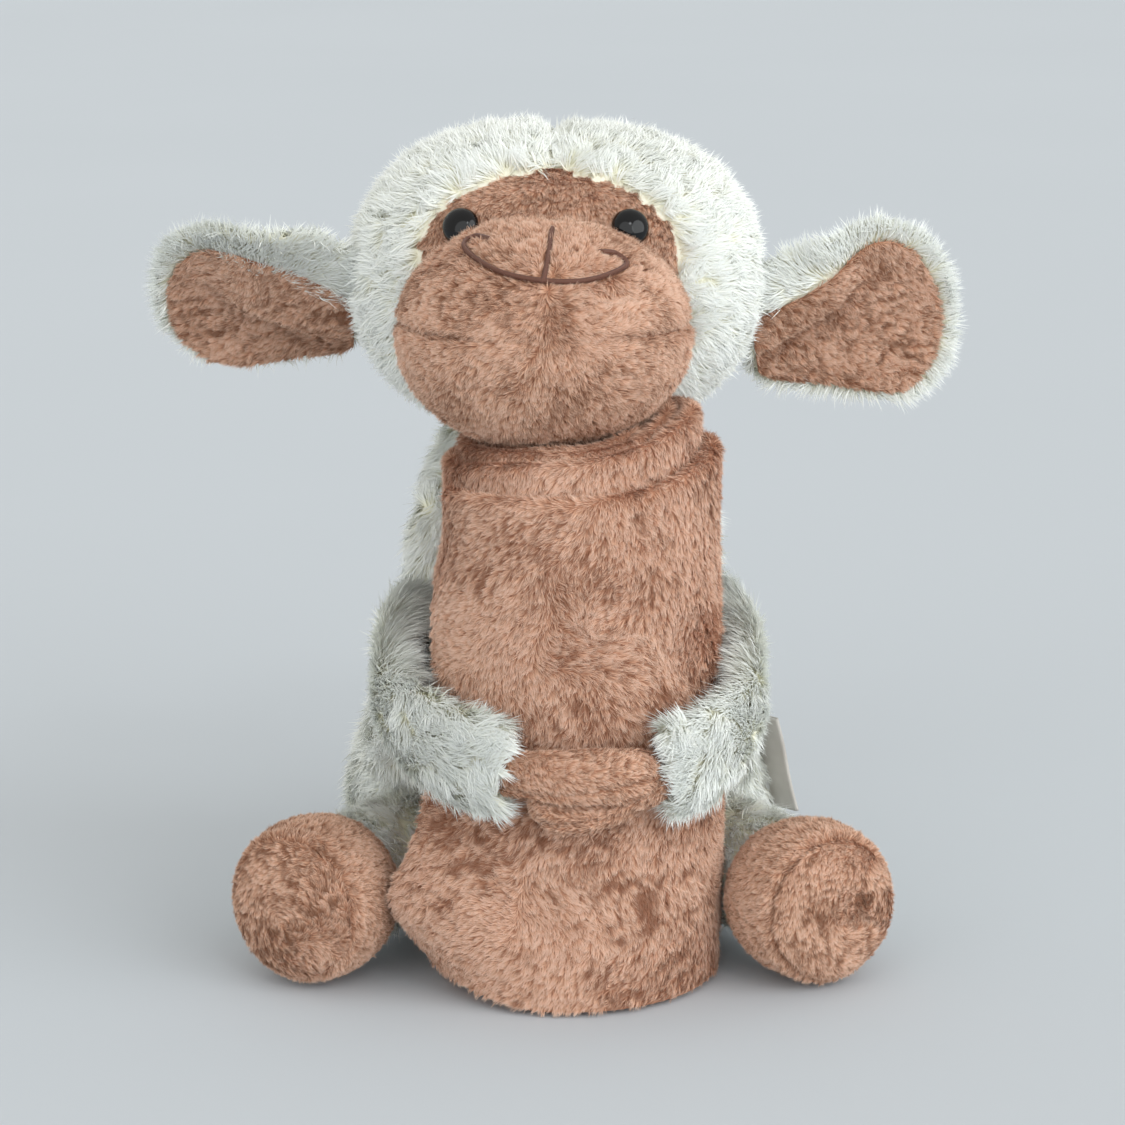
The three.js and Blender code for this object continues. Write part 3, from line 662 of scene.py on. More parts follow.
def make_muzzle():
    grid = ball_grid(MUZZLE, MUZZLE_HALF - 1.8, MUZZLE_SQUARE, rows=150, columns=150)
    skin = grid_object("muzzle_skin", grid, MATERIALS["velour_back"])
    inflate(skin, lambda p: -2.8 * muzzle_seam(p) + 0.7 * noise(p, 30, 41)
            - 1.3 * hill(from_mouth(p), 0.0, 1.7) * (p[:, 1] < MUZZLE[1]))

    def bare(roots, normals):
        q = np.abs((roots - HEAD) / (HEAD_HALF - 5.5))
        buried = (q**HEAD_SQUARE).sum(axis=1) < 1.0
        on_front = roots[:, 1] < MUZZLE[1]
        return ~buried & ~((from_mouth(roots) < 1.35) & on_front) & (muzzle_seam(roots) < 0.8)

    roots, normals = scatter(skin, 12.0, 43, bare)
    outward = across(roots - np.array([MUZZLE[0] + 6, -125.0, 212.0]), normals)
    down = across(np.tile([0.0, 0.0, -1.0], (len(roots), 1)), normals)
    nap = unit(0.02 * outward + 0.55 * down + 0.75 * across(noise_vector(roots, 17, 44), normals))
    strength = 0.75 + 0.35 * noise(roots, 21, 47)
    # Brushed patches; then the pile along the side seam is painted darker, as shade in its crease, and a
    # darker patch is painted low on the muzzle's front.
    patch = 0.08 + 0.5 * np.tanh(1.5 * (noise(roots, 19, 48) + 0.6 * noise(roots, 8, 49)))
    patch = patch - 0.3 * hill(roots[:, 0], 6, 20) * hill(roots[:, 2], 203, 8) - 0.45 * muzzle_seam(roots)
    hairs = velour("muzzle_pile", roots, normals, nap * strength[:, None], 45, patch)
    carried(hairs, "head")
    padded_skin(skin, "head", "velour_brown", 0.9, "muzzle_upper", "muzzle_lower")


def thread(points, radius, sides=6):
    """One short stitch as a small closed tube along a few points."""
    t = unit(np.gradient(points, axis=0))
    a = unit(np.cross(t, np.array([0.31, -0.9, 0.29])))
    b = np.cross(t, a)
    swell = np.sin(np.linspace(0.35, math.pi - 0.35, len(points)))[:, None] * radius
    ring = tube_grid(points, a * swell, b * swell, sides)
    tips = [points[0] - t[0] * radius * 0.4, points[-1] + t[-1] * radius * 0.4]
    faces = grid_faces(len(points), sides) + cap_faces(len(points), sides)
    return np.vstack([ring.reshape(-1, 3), *tips]), faces


def thread_object(name, stitches, radius, material):
    verts, faces = [], []
    for points in stitches:
        v, f = thread(points, radius)
        start = len(verts) * len(v)
        verts.append(v)
        faces += [tuple(i + start for i in face) for face in f]
    return make_object(name, np.vstack(verts), faces, material)


def make_mouth():
    stitches = []
    reach = np.linspace(-1, 1, 5)[:, None]
    for flat, count in ((SMILE, 230), (LIP, 36)):
        path = mouth_path(flat, count)
        along = unit(np.gradient(path, axis=0))
        out = unit(path - MUZZLE)
        side = unit(np.cross(along, out))
        lay = unit(side + 0.9 * along)
        for k in range(len(path)):
            stitches.append(path[k] + STITCH["half"] * reach * lay[k] + (1.2 - 0.8 * reach**2) * out[k])
    mouth = thread_object("mouth_stitches", stitches, STITCH["radius"], MATERIALS["thread"])
    carried(mouth, "head")
    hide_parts("mouth_embroidery")


# Eyes

EYES = {"x": -5.5, "apart": 54.5, "z": 245.2}


def eye_seat(side):
    """Where an eye sits on the face, and which way it looks."""
    half = HEAD_HALF - 3.4
    x, z = EYES["x"] + side * EYES["apart"] / 2, EYES["z"]
    y = float(on_ball(HEAD, half, HEAD_SQUARE, x, z))
    share = (np.array([x, y, z]) - HEAD) / half
    outward = np.sign(share) * np.abs(share) ** (HEAD_SQUARE - 1) / half
    return np.array([x, y, z]), unit(outward)


def lathe_at(profile, centre, axis, columns):
    """Rows of a profile of (radius, distance) turned about an axis."""
    a = unit(np.cross(axis, np.array([0.0, 0.0, 1.0]) + 1e-6))
    b = np.cross(axis, a)
    turn = np.linspace(0, 2 * math.pi, columns, endpoint=False)
    ring = np.cos(turn)[:, None] * a + np.sin(turn)[:, None] * b
    p = np.asarray(profile, float)
    return centre + p[:, 1, None, None] * axis + p[:, 0, None, None] * ring[None]


def make_eyes():
    dome = [(0.2, -13.0), (2.2, -12.8), (2.2, 0.2), (5.7, 0.2), (6.1, 0.35), (6.2, 0.8), (6.1, 1.25)]
    angles = np.linspace(0.12, math.pi / 2 - 0.02, 16)
    dome += [(6.02 * math.cos(a), 1.1 + 3.8 * math.sin(a)) for a in angles]
    for name, side in (("left", 1), ("right", -1)):
        seat, outward = eye_seat(side)
        eye = grid_object(f"eye_gloss_{name}", lathe_at(dome, seat, outward, 48), MATERIALS["eye"])
        carried(eye, "head")
        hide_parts(f"eye_{name}")
        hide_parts(f"eye_washer_{name}")


# Body

PEAR = [(66, 0), (77, 36), (64, 76), (48.5, 112), (45, 152), (30, 176.7)]
BODY_DEPTH = 62 / 77
BELLY = 39.0
# Where the soft body bulges forward on both sides of the roll: an angle ahead of the side, and lengths
HUG = {"out": 17.0, "at": 36, "spread": 16, "clear": 5.0}


def make_body():
    profile = curve_through(PEAR, 70)
    turn = np.linspace(0, 2 * math.pi, 110, endpoint=False)
    radius = profile[:, 0] - 2.5 + 3.0 * smooth(95, 130, profile[:, 1])
    height = np.clip(profile[:, 1], 0.6, 175.5)
    x = radius[:, None] * np.cos(turn)
    y = np.maximum(radius[:, None] * np.sin(turn) * BODY_DEPTH, 5.0 - BELLY)
    z = height[:, None] + 0 * x
    ahead = np.degrees(np.arctan2(-y, np.abs(x)))
    hug = HUG["out"] * hill(ahead, HUG["at"], HUG["spread"]) * smooth(40, 75, z) * (1 - smooth(130, 168, z))
    reach = 1 + hug / np.maximum(np.hypot(x, y), 1.0)
    grid = np.stack([x * reach, y * reach, z], axis=-1)
    clear = np.maximum(1.0, (ROLL["radius"] + HUG["clear"]) / off_roll(grid))
    middle = np.array([ROLL["x"], ROLL["y"]])
    grid[..., :2] = middle + (grid[..., :2] - middle) * clear[..., None]
    skin = grid_object("body_skin", grid, MATERIALS["wool_back"])
    inflate(skin, lambda p: 1.1 * noise(p, 26, 51) * smooth(2, 14, p[:, 2]) * (p[:, 1] > 7 - BELLY))

    def behind_roll(roots, normals):
        return (normals[:, 1] < -0.85) & (np.abs(roots[:, 0]) < 28)

    def bare(roots, normals):
        under = (roots[:, 2] < 3) & (normals[:, 2] < -0.6)
        on_top = (normals[:, 2] > 0.9) & (np.hypot(roots[:, 0], roots[:, 1] / BODY_DEPTH) < 27)
        return ~(under | behind_roll(roots, normals) | on_top)

    roots, normals = scatter(skin, 2.4, 52, bare)
    comb = np.array([0.0, 0.0, -0.42]) + 0.12 * unit(roots * np.array([1.0, 0.6, 0.0]))
    left = roots[:, 0] > 0
    for name, part, seed in (("left", left, 53), ("right", ~left, 54)):
        made = wool(f"body_wool_{name}", roots[part], normals[part], comb[part], seed, length=9.0, tuft=5.5)
        carried(above_floor(made, 0.3), "torso")
    roots, normals = scatter(skin, 3.0, 55, behind_roll)
    made = wool("belly_wool", roots, normals, -0.5 * UP, 56, length=5.0, tuft=4.5, lift=0.45)
    carried(above_floor(made, 0.3), "torso")
    padded_skin(skin, "torso", "wool_white", 0.85, "body_cover", "body_filling", "seat_panel")


# Arms

SHOULDER = {"x": 48.0, "y": -6.0, "z": 95.0, "tuck_x": 10.0, "tuck_y": 16.0, "elbow_y": -46.0}
ARMS = {
    "left": {"side": 1, "cuff": 58, "end": 103, "wrist_z": 81.0, "paw_z": 72.5, "out": 0.0, "high": 9.5},
    "right": {"side": -1, "cuff": 69, "end": 119, "wrist_z": 83.0, "paw_z": 83.0, "out": 2.5, "high": 10.5},
}
ROLL_GAP = 0.6
SLEEVE_GAP = 2.6
SLEEVE = (4.5, 14.0)
PAW_THICK = 6.5
# How far along a paw, from cuff to end, and its share of the full size there
PAW_SIZES = [(-0.16, 0.72), (0.1, 0.85), (0.35, 0.96), (0.62, 1.0), (0.84, 0.88), (0.96, 0.55), (1.0, 0.2)]


def round_roll(side, degrees, z, reach):
    """Points at angles round the roll, counted from the arm's own side to the front, and outwards there."""
    a = np.radians(degrees)
    out = np.stack([side * np.cos(a), -np.sin(a), 0 * a], axis=-1)
    far = ROLL["radius"] + ROLL_GAP + np.asarray(reach)
    centre = np.array([ROLL["x"], ROLL["y"], 0.0]) + out * far[..., None]
    centre[..., 2] = z
    return centre, out


def sleeve_path(arm):
    side = arm["side"]
    fall = SHOULDER["z"] - arm["wrist_z"]
    tuck = [np.array([side * (SHOULDER["x"] - k * SHOULDER["tuck_x"]),
                      SHOULDER["y"] + k * SHOULDER["tuck_y"], SHOULDER["z"]]) for k in (1, 0)]
    beside_x = ROLL["x"] + side * (ROLL["radius"] + SLEEVE_GAP + SLEEVE[0])
    elbow = np.array([beside_x, SHOULDER["elbow_y"], SHOULDER["z"] - fall * 0.15])
    share = np.array([0, 0.25, 0.5, 0.75, 1.0])
    z = SHOULDER["z"] - fall * (0.3 + 0.7 * share)
    reach = np.full(5, SLEEVE[0] + SLEEVE_GAP - ROLL_GAP)
    centres, outs = round_roll(side, arm["cuff"] * share, z, reach)
    points = np.vstack([tuck, elbow[None], centres])
    sidewise = np.tile([side, 0.0, 0.0], (3, 1))
    return curve_through(points, 48), unit(curve_through(np.vstack([sidewise, outs]), 48))


def make_sleeve(name, arm):
    centres, out = sleeve_path(arm)
    n = len(centres)
    share = np.linspace(0, 1, n)
    raised = 2.0 + 6.5 * (1 - smooth(0.3, 0.95, share))
    centres = centres + UP * raised[:, None]
    angle = np.arctan2(centres[:, 1] - ROLL["y"], centres[:, 0] - ROLL["x"])
    tucked = 4.0 * hill(turn_from(angle, DENT["at"]), 0, DENT["spread"])
    room = np.clip(0.95 * (off_roll(centres) - ROLL["radius"] - 3.0 + tucked), SLEEVE[0] - 0.3, 16.0)
    outer = SLEEVE[0] - 0.3 - 2.0 * (1 - smooth(0.35, 0.6, share))
    thick = (room + outer) / 2
    centres = centres - out * ((room - outer) / 2)[:, None]
    high = np.full(n, SLEEVE[1] - 1.5) + 1.2 * np.sin(np.linspace(0, 9, n))
    along = unit(np.gradient(centres, axis=0))
    up = unit(np.cross(out, along) * arm["side"])
    up = unit(up * np.sign(up[:, 2:]) * 0.6 + UP * 0.4)
    grid = tube_grid(centres, out * thick[:, None], up * high[:, None], 40, 2.3)
    skin = grid_object(f"sleeve_skin_{name}", grid, MATERIALS["wool_back"])

    roots, normals = scatter(skin, 5.2, 61 + arm["side"])
    k = ((roots[:, None, :] - centres[None]) ** 2).sum(axis=2).argmin(axis=1)
    pressed = (off_roll(roots) < ROLL["radius"] + 4.5) & ((normals * out[k]).sum(axis=1) < -0.45)
    near_elbow = smooth(0.15, 0.25, k / n) * (1 - smooth(0.5, 0.68, k / n))
    over = (near_elbow * smooth(0.1, 0.6, normals[:, 2]))[:, None]
    comb = 0.5 * along[k] * (1 - 0.6 * over) + 0.2 * normals * UP - 0.7 * over * out[k]
    at_end = smooth(0.6, 0.9, (normals * along[-1]).sum(axis=1, keepdims=True)) * (k > n - 4)[:, None]
    beside = np.maximum(smooth(0.5, 0.95, np.abs(normals[:, :1])), at_end)
    length = np.where(pressed[:, None], 4.0, 9.5 - 4.0 * beside + 5.0 * over)
    made = wool(f"sleeve_wool_{name}", roots, normals, comb, 63 + arm["side"], length=length,
                tuft=6.0, pull=0.1, lift=0.55)
    body = f"arm_{name}"
    carried(made, body)
    padded_skin(skin, body, "wool_white", 0.7, f"sleeve_{name}", f"arm_filling_{name}")


LAP = {"x": 6.0, "y": ROLL["y"] - (ROLL["radius"] + ROLL_GAP + PAW_THICK), "z": 77.0, "edge": -16.0}
LAP_NORMAL = np.array([0.0, -math.sqrt(0.5), math.sqrt(0.5)])


def make_paw(name, arm):
    side = arm["side"]
    spread = arm["end"] - arm["cuff"]
    fine = curve_through(PAW_SIZES, 60)
    share, size = fine[:, 0], np.maximum(fine[:, 1], 0.1)
    settled = np.clip(share * 1.6, 0, 1)
    z = arm["wrist_z"] + (arm["paw_z"] - arm["wrist_z"]) * settled
    thick = PAW_THICK * size
    centres, out = round_roll(side, arm["cuff"] + spread * share, z, thick + arm["out"] * settled)
    high = arm["high"] * size - 1.3
    grid = tube_grid(centres, out * (thick - 1.3)[:, None], UP * high[:, None], 44, 2.2)
    far = (grid - np.array([LAP["x"], LAP["y"], LAP["z"]])) @ LAP_NORMAL
    gap = 1.4
    if side > 0:
        push = np.minimum(0.0, -gap - far) * smooth(LAP["edge"] - 12, LAP["edge"], grid[..., 0])
    else:
        push = np.maximum(0.0, gap - far) * smooth(LAP["edge"] - 4, LAP["edge"] + 8, grid[..., 0])
    grid = grid + push[..., None] * LAP_NORMAL
    skin = grid_object(f"paw_skin_{name}", grid, MATERIALS["velour_back"])
    seam_z = arm["paw_z"] - 3.0

    def seam(p):
        front = smooth(-118, -128, p[:, 1])
        line = seam_z + 2.0 * np.sin((p[:, 0] - 10) / 11.0)
        return hill(p[:, 2], line, 1.0) * front

    inflate(skin, lambda p: 0.8 * noise(p, 11, 71) - 1.2 * seam(p))
    roots, normals = scatter(skin, 15.0, 72 + side)
    nap = 0.95 * brushed(np.array([-0.7 * side, 0.0, -0.3]), 0.7, roots, normals, 9, 74)
    # Brushed patches, and the pile along the seam painted darker as shade in its crease.
    patch = 0.12 + 0.3 * noise(roots, 10, 75) - 0.3 * seam(roots)
    hairs = velour(f"paw_pile_{name}", roots, normals, nap, 76 + side, patch,
                   length=1.9, width=0.26, tuft=1.5)
    body = f"arm_{name}"
    carried(hairs, body)
    patches = {"left": "loop_patch", "right": "hook_patch"}
    padded_skin(skin, body, "velour_brown", 0.75, f"paw_{name}", patches[name])


# Legs and feet

LEG_SPREAD = math.radians(30)
FOOT = {"x": 81.0, "y": -100.0, "z": 28.0}
SEAM_AT = 13.0


def leg_axis(side):
    along = np.array([side * math.sin(LEG_SPREAD), -math.cos(LEG_SPREAD), 0.0])
    return np.array([side * FOOT["x"], FOOT["y"], FOOT["z"]]), along


def make_leg(name, side):
    centre, along = leg_axis(side)
    profile = [(18.0, -70.0), (18.5, -62.0), (19.0, -45.0), (18.6, -30.0), (17.5, -18.5)]
    grid = lathe_at(curve_through(profile, 30), centre, along, 60)
    skin = grid_object(f"leg_skin_{name}", grid, MATERIALS["wool_back"])

    def bare(roots, normals):
        in_body = (roots[:, 0] / 72) ** 2 + (roots[:, 1] / 57) ** 2 < 1
        ends = np.abs((normals * along).sum(axis=1)) > 0.8
        return ~in_body & ~ends

    roots, normals = scatter(skin, 2.4, 81 + side, bare)
    comb = 0.35 * along - 0.15 * UP + np.zeros_like(roots)
    body = f"leg_{name}"
    free = smooth(1.5, 6.0, off_roll(roots) - ROLL["radius"])[:, None]
    made = wool(f"leg_wool_{name}", roots, normals, comb, 83 + side, length=4.0 + 5.0 * free)
    carried(above_floor(made, 0.3), body)
    padded_skin(skin, body, "wool_white", 0.8, f"leg_cover_{name}", f"leg_filling_{name}")

    foot = [(10.0, -22.0), (18.0, -21.0), (24.2, -11.2), (26.3, 0.0), (25.0, 8.5), (23.6, SEAM_AT),
            (20.0, 17.0), (13.5, 19.6), (7.0, 20.6), (0.4, 20.9)]
    rows = curve_through(foot, 90)
    rows[:, 0] += 0.6 * hill(rows[:, 1], SEAM_AT - 2.6, 1.3) - 1.5 * hill(rows[:, 1], SEAM_AT, 0.9)
    grid = lathe_at(rows, centre, along, 110)
    shoe = grid_object(f"foot_skin_{name}", grid, MATERIALS["velour_back"])
    inflate(shoe, lambda p: 0.7 * noise(p, 18, 87))
    above_floor(shoe, 1.0)

    roots, normals = scatter(shoe, 13.0, 88 + side, lambda r, n: r[:, 2] > 1.6)
    radial = across(roots - centre - along * 24, normals)
    swirl = across(np.cross(np.tile(along, (len(roots), 1)), normals), normals)
    ahead = (roots - centre) @ along
    on_sole = (ahead > SEAM_AT)[:, None]
    base = np.where(on_sole, 0.75 * unit(swirl) - 0.5 * UP, 0.7 * unit(radial) - 0.4 * UP)
    nap = 0.9 * brushed(base, 0.6, roots, normals, 13, 90)
    # Painted shade: the right foot's sole, turned away from the key light, is painted darker, and the pile
    # along the seam is painted darker as shade in its crease.
    painted_shade = np.where(on_sole[:, 0], -0.06 + 0.08 * side, 0.04)
    patch = painted_shade + 0.4 * noise(roots, 16, 91) - 0.3 * hill(ahead, SEAM_AT, 0.9)
    hairs = velour(f"foot_pile_{name}", roots, normals, nap, 92 + side, patch,
                   length=2.3, width=0.27, tuft=1.6)
    carried(above_floor(hairs, 0.15), body)
    padded_skin(shoe, body, "velour_brown", 0.9, f"foot_upper_{name}", f"sole_{name}")


# Ears

EARS = {
    "left": {"side": 1, "rise": -16.0, "lift": 10.0, "roll": 4.0, "drop": 1.0, "root": 0.0,
             "fold": 4.0, "slope": 0.42, "flap": 7.0, "over": 4.0, "crest": 1.5, "fold_end": 22.0,
             "upper": [(-19, 0.45), (-10, 0.52), (10, 0.74), (25, 0.92), (34, 1.0)]},
    "right": {"side": -1, "rise": -8.0, "lift": 8.0, "roll": 36.0, "drop": 3.0, "root": 0.22,
              "fold": -2.0, "slope": 0.2, "flap": 8.0, "over": 5.0, "crest": 7.0, "fold_end": 38.0,
              "upper": [(-19, 0.5), (-8, 0.56), (4, 0.68), (21, 0.85), (36, 0.94)]},
}
# From root to tip: a place along the ear, and half its width there
EAR_OUTLINE = [(-19.5, 13.5), (-13.0, 18.5), (0.0, 22.5), (12.0, 25.5),
               (29.0, 29.0), (42.0, 20.5), (47.0, 8.0), (47.7, 0.5)]
LINING_OUTLINE = [(-18.8, 13.5), (-12.0, 17.2), (0.0, 20.0), (11.0, 23.0),
                  (27.0, 26.5), (39.0, 18.8), (43.8, 7.5), (44.6, 0.5)]


def ear_root(ear):
    """The middle of an ear's round root, which touches the side of the head."""
    share = abs(ear["rise"]) / HEAD_HALF[2]
    reach = HEAD_HALF[0] * (1 - share**HEAD_SQUARE) ** (1 / HEAD_SQUARE) + 16.3
    return np.array([HEAD[0] + ear["side"] * reach, HEAD[1], HEAD[2] + ear["rise"]])


def ear_turn(ear):
    """How an ear is rolled about its length and lifted, as a matrix."""
    roll, lift = math.radians(ear["roll"]), math.radians(-ear["side"] * ear["lift"])
    rolled = [[1, 0, 0], [0, math.cos(roll), -math.sin(roll)], [0, math.sin(roll), math.cos(roll)]]
    lifted = [[math.cos(lift), 0, math.sin(lift)], [0, 1, 0], [-math.sin(lift), 0, math.cos(lift)]]
    return np.array(lifted) @ np.array(rolled)


def place_ear(ear, s, t, n):
    """From the ear's own length, height and depth to its place beside the head."""
    own = np.stack(np.broadcast_arrays(ear["side"] * s, -n, t), axis=-1)
    return own @ ear_turn(ear).T + ear_root(ear)


def ear_flat(ear, p):
    """From a place beside the head back to the ear's own length and height."""
    own = (p - ear_root(ear)) @ ear_turn(ear)
    return ear["side"] * own[:, 0], own[:, 2]


def ear_fold(ear, s, t):
    """How much of a point lies on the flap above the fold, from 0 to 1."""
    above = t - ear["fold"] - ear["slope"] * s
    return smooth(-1.6, 1.6, above) * (1 - smooth(0.4 * ear["fold_end"], ear["fold_end"], s))


def ear_cup(ear, s, t):
    """How far the ear comes forward: cupped edges, and the fold that starts at its root."""
    cup = 5.0 * (t / 27.0) ** 2 * smooth(-4, 18, s) + 2.5 * smooth(30, 52, s)
    return cup + ear["flap"] * ear_fold(ear, s, t)


def ear_root_share(ear, s):
    """How much wider this ear is towards its root."""
    return 1 + ear["root"] * (1 - smooth(-5, 28, s))


def lining_upper(ear, s):
    """How much of the ear's upper half the lining covers; the wool covers the rest."""
    stops = np.array(ear["upper"])
    return np.interp(s, stops[:, 0], stops[:, 1])


def ear_shell(name, ear, outline, thick, level, drop, material):
    leaf = curve_through(outline, 64)
    leaf[:, 1] = leaf[:, 1] * ear_root_share(ear, leaf[:, 0])
    turn = np.linspace(0, 2 * math.pi, 64, endpoint=False)
    s = leaf[:, :1] + 0 * turn
    t = leaf[:, 1:] * np.cos(turn)
    if drop:
        t = np.where(t > 0, t * lining_upper(ear, s), t) - drop
    full = np.minimum(1.0, leaf[:, 1:] / 8.0) ** 0.6
    n = level + thick * full * np.sign(np.sin(turn)) * np.abs(np.sin(turn)) ** 0.7
    above = t - ear["fold"] - ear["slope"] * s
    shift = ear["crest"] * smooth(5, 16, above) - ear["over"] * hill(above, 0, 7.0)
    hang = t + shift * ear_fold(ear, s, t)
    return grid_object(name, place_ear(ear, s, hang, n + ear_cup(ear, s, t)), material)


def make_ear(name, ear):
    body = f"ear_{name}"
    middle = place_ear(ear, np.array(20.0), np.array(-1.0), np.array(-2.0))
    front = unit(place_ear(ear, np.array(0.0), np.array(0.0), np.array(1.0)) - ear_root(ear))
    back = ear_shell(f"ear_skin_{name}", ear, EAR_OUTLINE, 2.3, -2.8, 0.0, MATERIALS["wool_back"])
    lining = ear_shell(f"ear_lining_skin_{name}", ear, LINING_OUTLINE, 0.9, 0.6, ear["drop"],
                       MATERIALS["velour_back"])
    edge = curve_through(LINING_OUTLINE, 80)

    def outside(roots, normals):
        s, t = ear_flat(ear, roots)
        half = np.interp(s, edge[:, 0], edge[:, 1], left=0.0, right=0.0) * ear_root_share(ear, s)
        at = t + ear["drop"]
        lined = (at > 0.8 - half) & (at < half * lining_upper(ear, s) - 0.8)
        return ((normals @ front) < 0.0) | ~lined

    roots, normals = scatter(back, 3.6, 101 + ear["side"], outside)
    flat = roots - middle
    radial = unit(flat - np.outer(flat @ front, front))
    to_tip = unit(place_ear(ear, np.array(1.0), np.array(0.0), np.array(0.0)) - ear_root(ear))
    behind = smooth(0.1, -0.5, normals @ front)[:, None]
    comb = 0.9 * radial * (1 - 0.55 * behind) + 0.25 * front + 0.9 * behind * to_tip
    made = wool(f"ear_wool_{name}", roots, normals, comb, 103 + ear["side"], length=8.0, tuft=4.0, lift=0.44)
    carried(made, body)
    padded_skin(back, body, "wool_white", 0.5, f"ear_back_{name}")

    roots, normals = scatter(lining, 15.0, 105 + ear["side"], lambda r, n: (n @ front) > 0.05)
    nap = 0.85 * brushed(np.array([ear["side"], 0.0, -0.35]), 0.75, roots, normals, 13, 107)
    patch = 0.02 + 0.35 * noise(roots, 15, 108)
    hairs = velour(f"ear_pile_{name}", roots, normals, nap, 109 + ear["side"], patch, length=2.6)
    carried(hairs, body)
    padded_skin(lining, body, "velour_brown", 0.3, f"ear_lining_{name}")


# Care label, a bare folded strip

LABEL = {"x": 71.0, "y": -14.0, "z": 35.0, "out": 16.0, "high": 34.0,
         "turn": -48.0, "lean": -10.0, "layer": 0.5}


def make_label():
    half = LABEL["layer"] / 2 + 0.3
    bend = np.linspace(-math.pi / 2, math.pi / 2, 9)
    run = np.linspace(0, LABEL["out"] - 0.6, 20)
    path = [(x, -half) for x in run] + [(run[-1] + half * math.cos(a), half * math.sin(a)) for a in bend]
    path = np.array(path + [(x, half) for x in run[::-1]])
    lead = unit(np.gradient(path, axis=0))
    side = np.stack([lead[:, 1], -lead[:, 0]], axis=1) * LABEL["layer"] * 0.36
    ring = np.vstack([path + side, (path - side)[::-1]])
    rows = []
    turn, lean = math.radians(LABEL["turn"]), math.radians(LABEL["lean"])
    for z in np.linspace(0, LABEL["high"], 30):
        x, y = ring[:, 0] * (1 - 0.0016 * (z - 17)), ring[:, 1]
        y = y - 1.5 * np.sin(x / 18 * 2.2) * (0.4 + z / 34) + 0.35 * np.sin(z / 5.0 + x / 6.0) * x / 18
        out, fore = x * math.cos(turn) - y * math.sin(turn), x * math.sin(turn) + y * math.cos(turn)
        lift = z - 0.08 * x
        aside = out * math.cos(lean) + lift * math.sin(lean)
        place = np.stack([aside, fore, lift * math.cos(lean) - out * math.sin(lean)], axis=1)
        rows.append(place + np.array([LABEL["x"], LABEL["y"], LABEL["z"]]))
    faces = grid_faces(len(rows), len(ring)) + strip_faces(len(rows), len(ring))
    label = make_object("label_strip", np.vstack(rows), faces, MATERIALS["satin"])
    carried(label, "label")
    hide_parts("care_label")


# Blanket, folded in four and rolled up

LAYER = 0.85
CLOTH_HALF = 0.6
# Points on each straight run of the folded strip, and on each of its folds
RUN, BEND, WIDE_BEND = 17, 7, 13
# Heights on the strip: its hems, the fold below, and how far below its top the two upper folds start
STRIP = {"hem": 1.2, "below": 2.8, "inner": 6.0, "outer": 3.4}
# The outer turn's top, how it tilts, sags and ripples round the roll, and how far inner turns rise above it
RIM = {"height": 171.0, "tilt": 4.4, "sag": 2.1, "ripple": 1.4, "inner": 12.0}
# The loose end: its share of a turn, how far and where it stands out, and how far its hem is lifted
FLAP = {"turn": 0.16, "out": 11.0, "z": 31.0, "half": 18.0, "hem": 6.0}


def blanket_profile():
    """The folded strip in its thickness and height: up, over, down, round, up, over all and down."""
    inner, outer = ROLL["height"] - STRIP["inner"], ROLL["height"] - STRIP["outer"]
    turn = np.linspace(0, math.pi, BEND + 2)[1:-1]
    path = [(-LAYER, z) for z in np.linspace(STRIP["hem"], inner, RUN)]
    path += [(-LAYER * math.cos(a), inner + LAYER * math.sin(a)) for a in turn]
    path += [(LAYER, z) for z in np.linspace(inner, STRIP["below"], RUN)]
    path += [(2 * LAYER - LAYER * math.cos(a), STRIP["below"] - LAYER * math.sin(a)) for a in turn]
    path += [(3 * LAYER, z) for z in np.linspace(STRIP["below"], outer, RUN)]
    wide = np.linspace(0, math.pi, WIDE_BEND + 2)[1:-1]
    path += [(3 * LAYER * math.cos(a), outer + 3 * LAYER * math.sin(a)) for a in wide]
    path += [(-3 * LAYER, z) for z in np.linspace(outer, STRIP["hem"], RUN)]
    return np.array(path)


PROFILE = blanket_profile()
PROFILE_AT = np.concatenate([[0], np.cumsum(np.linalg.norm(np.diff(PROFILE, axis=0), axis=1))])
OUTER_FROM = PROFILE_AT[2 * (RUN + BEND)]
FOLD_AT = PROFILE_AT[2 * (RUN + BEND) + RUN + WIDE_BEND // 2]


def turn_from(angle, degrees):
    """How many degrees an angle lies from another, from -180 to 180."""
    return (np.degrees(angle) - degrees + 180) % 360 - 180


def on_profile(at):
    return np.interp(at, PROFILE_AT, PROFILE[:, 0]), np.interp(at, PROFILE_AT, PROFILE[:, 1])


def rim_height(x, y, angle, inner):
    """How high the roll's top is: higher for inner turns, and pressed down by the chin and the head."""
    rim = RIM["height"] + RIM["tilt"] * np.cos(angle) + RIM["sag"] * np.cos(2 * angle)
    rim = rim + RIM["inner"] * smooth(0.1, 0.26, inner) + RIM["ripple"] * np.sin(3 * angle + 1.0)
    off_chin = np.hypot((x - MUZZLE[0]) / MUZZLE_HALF[0], (y - MUZZLE[1]) / MUZZLE_HALF[1])
    chin = MUZZLE[2] - MUZZLE_HALF[2] * np.sqrt(np.maximum(0.0, 1 - off_chin**2))
    share = 1 - np.abs((x - HEAD[0]) / HEAD_HALF[0]) ** HEAD_SQUARE
    share = share - np.abs((y - HEAD[1]) / HEAD_HALF[1]) ** HEAD_SQUARE
    under_head = HEAD[2] - HEAD_HALF[2] * np.maximum(share, 0.0) ** (1 / HEAD_SQUARE)
    return np.minimum(rim, np.minimum(chin - 0.6, np.maximum(under_head, HEAD_FLOOR) - 3.0))


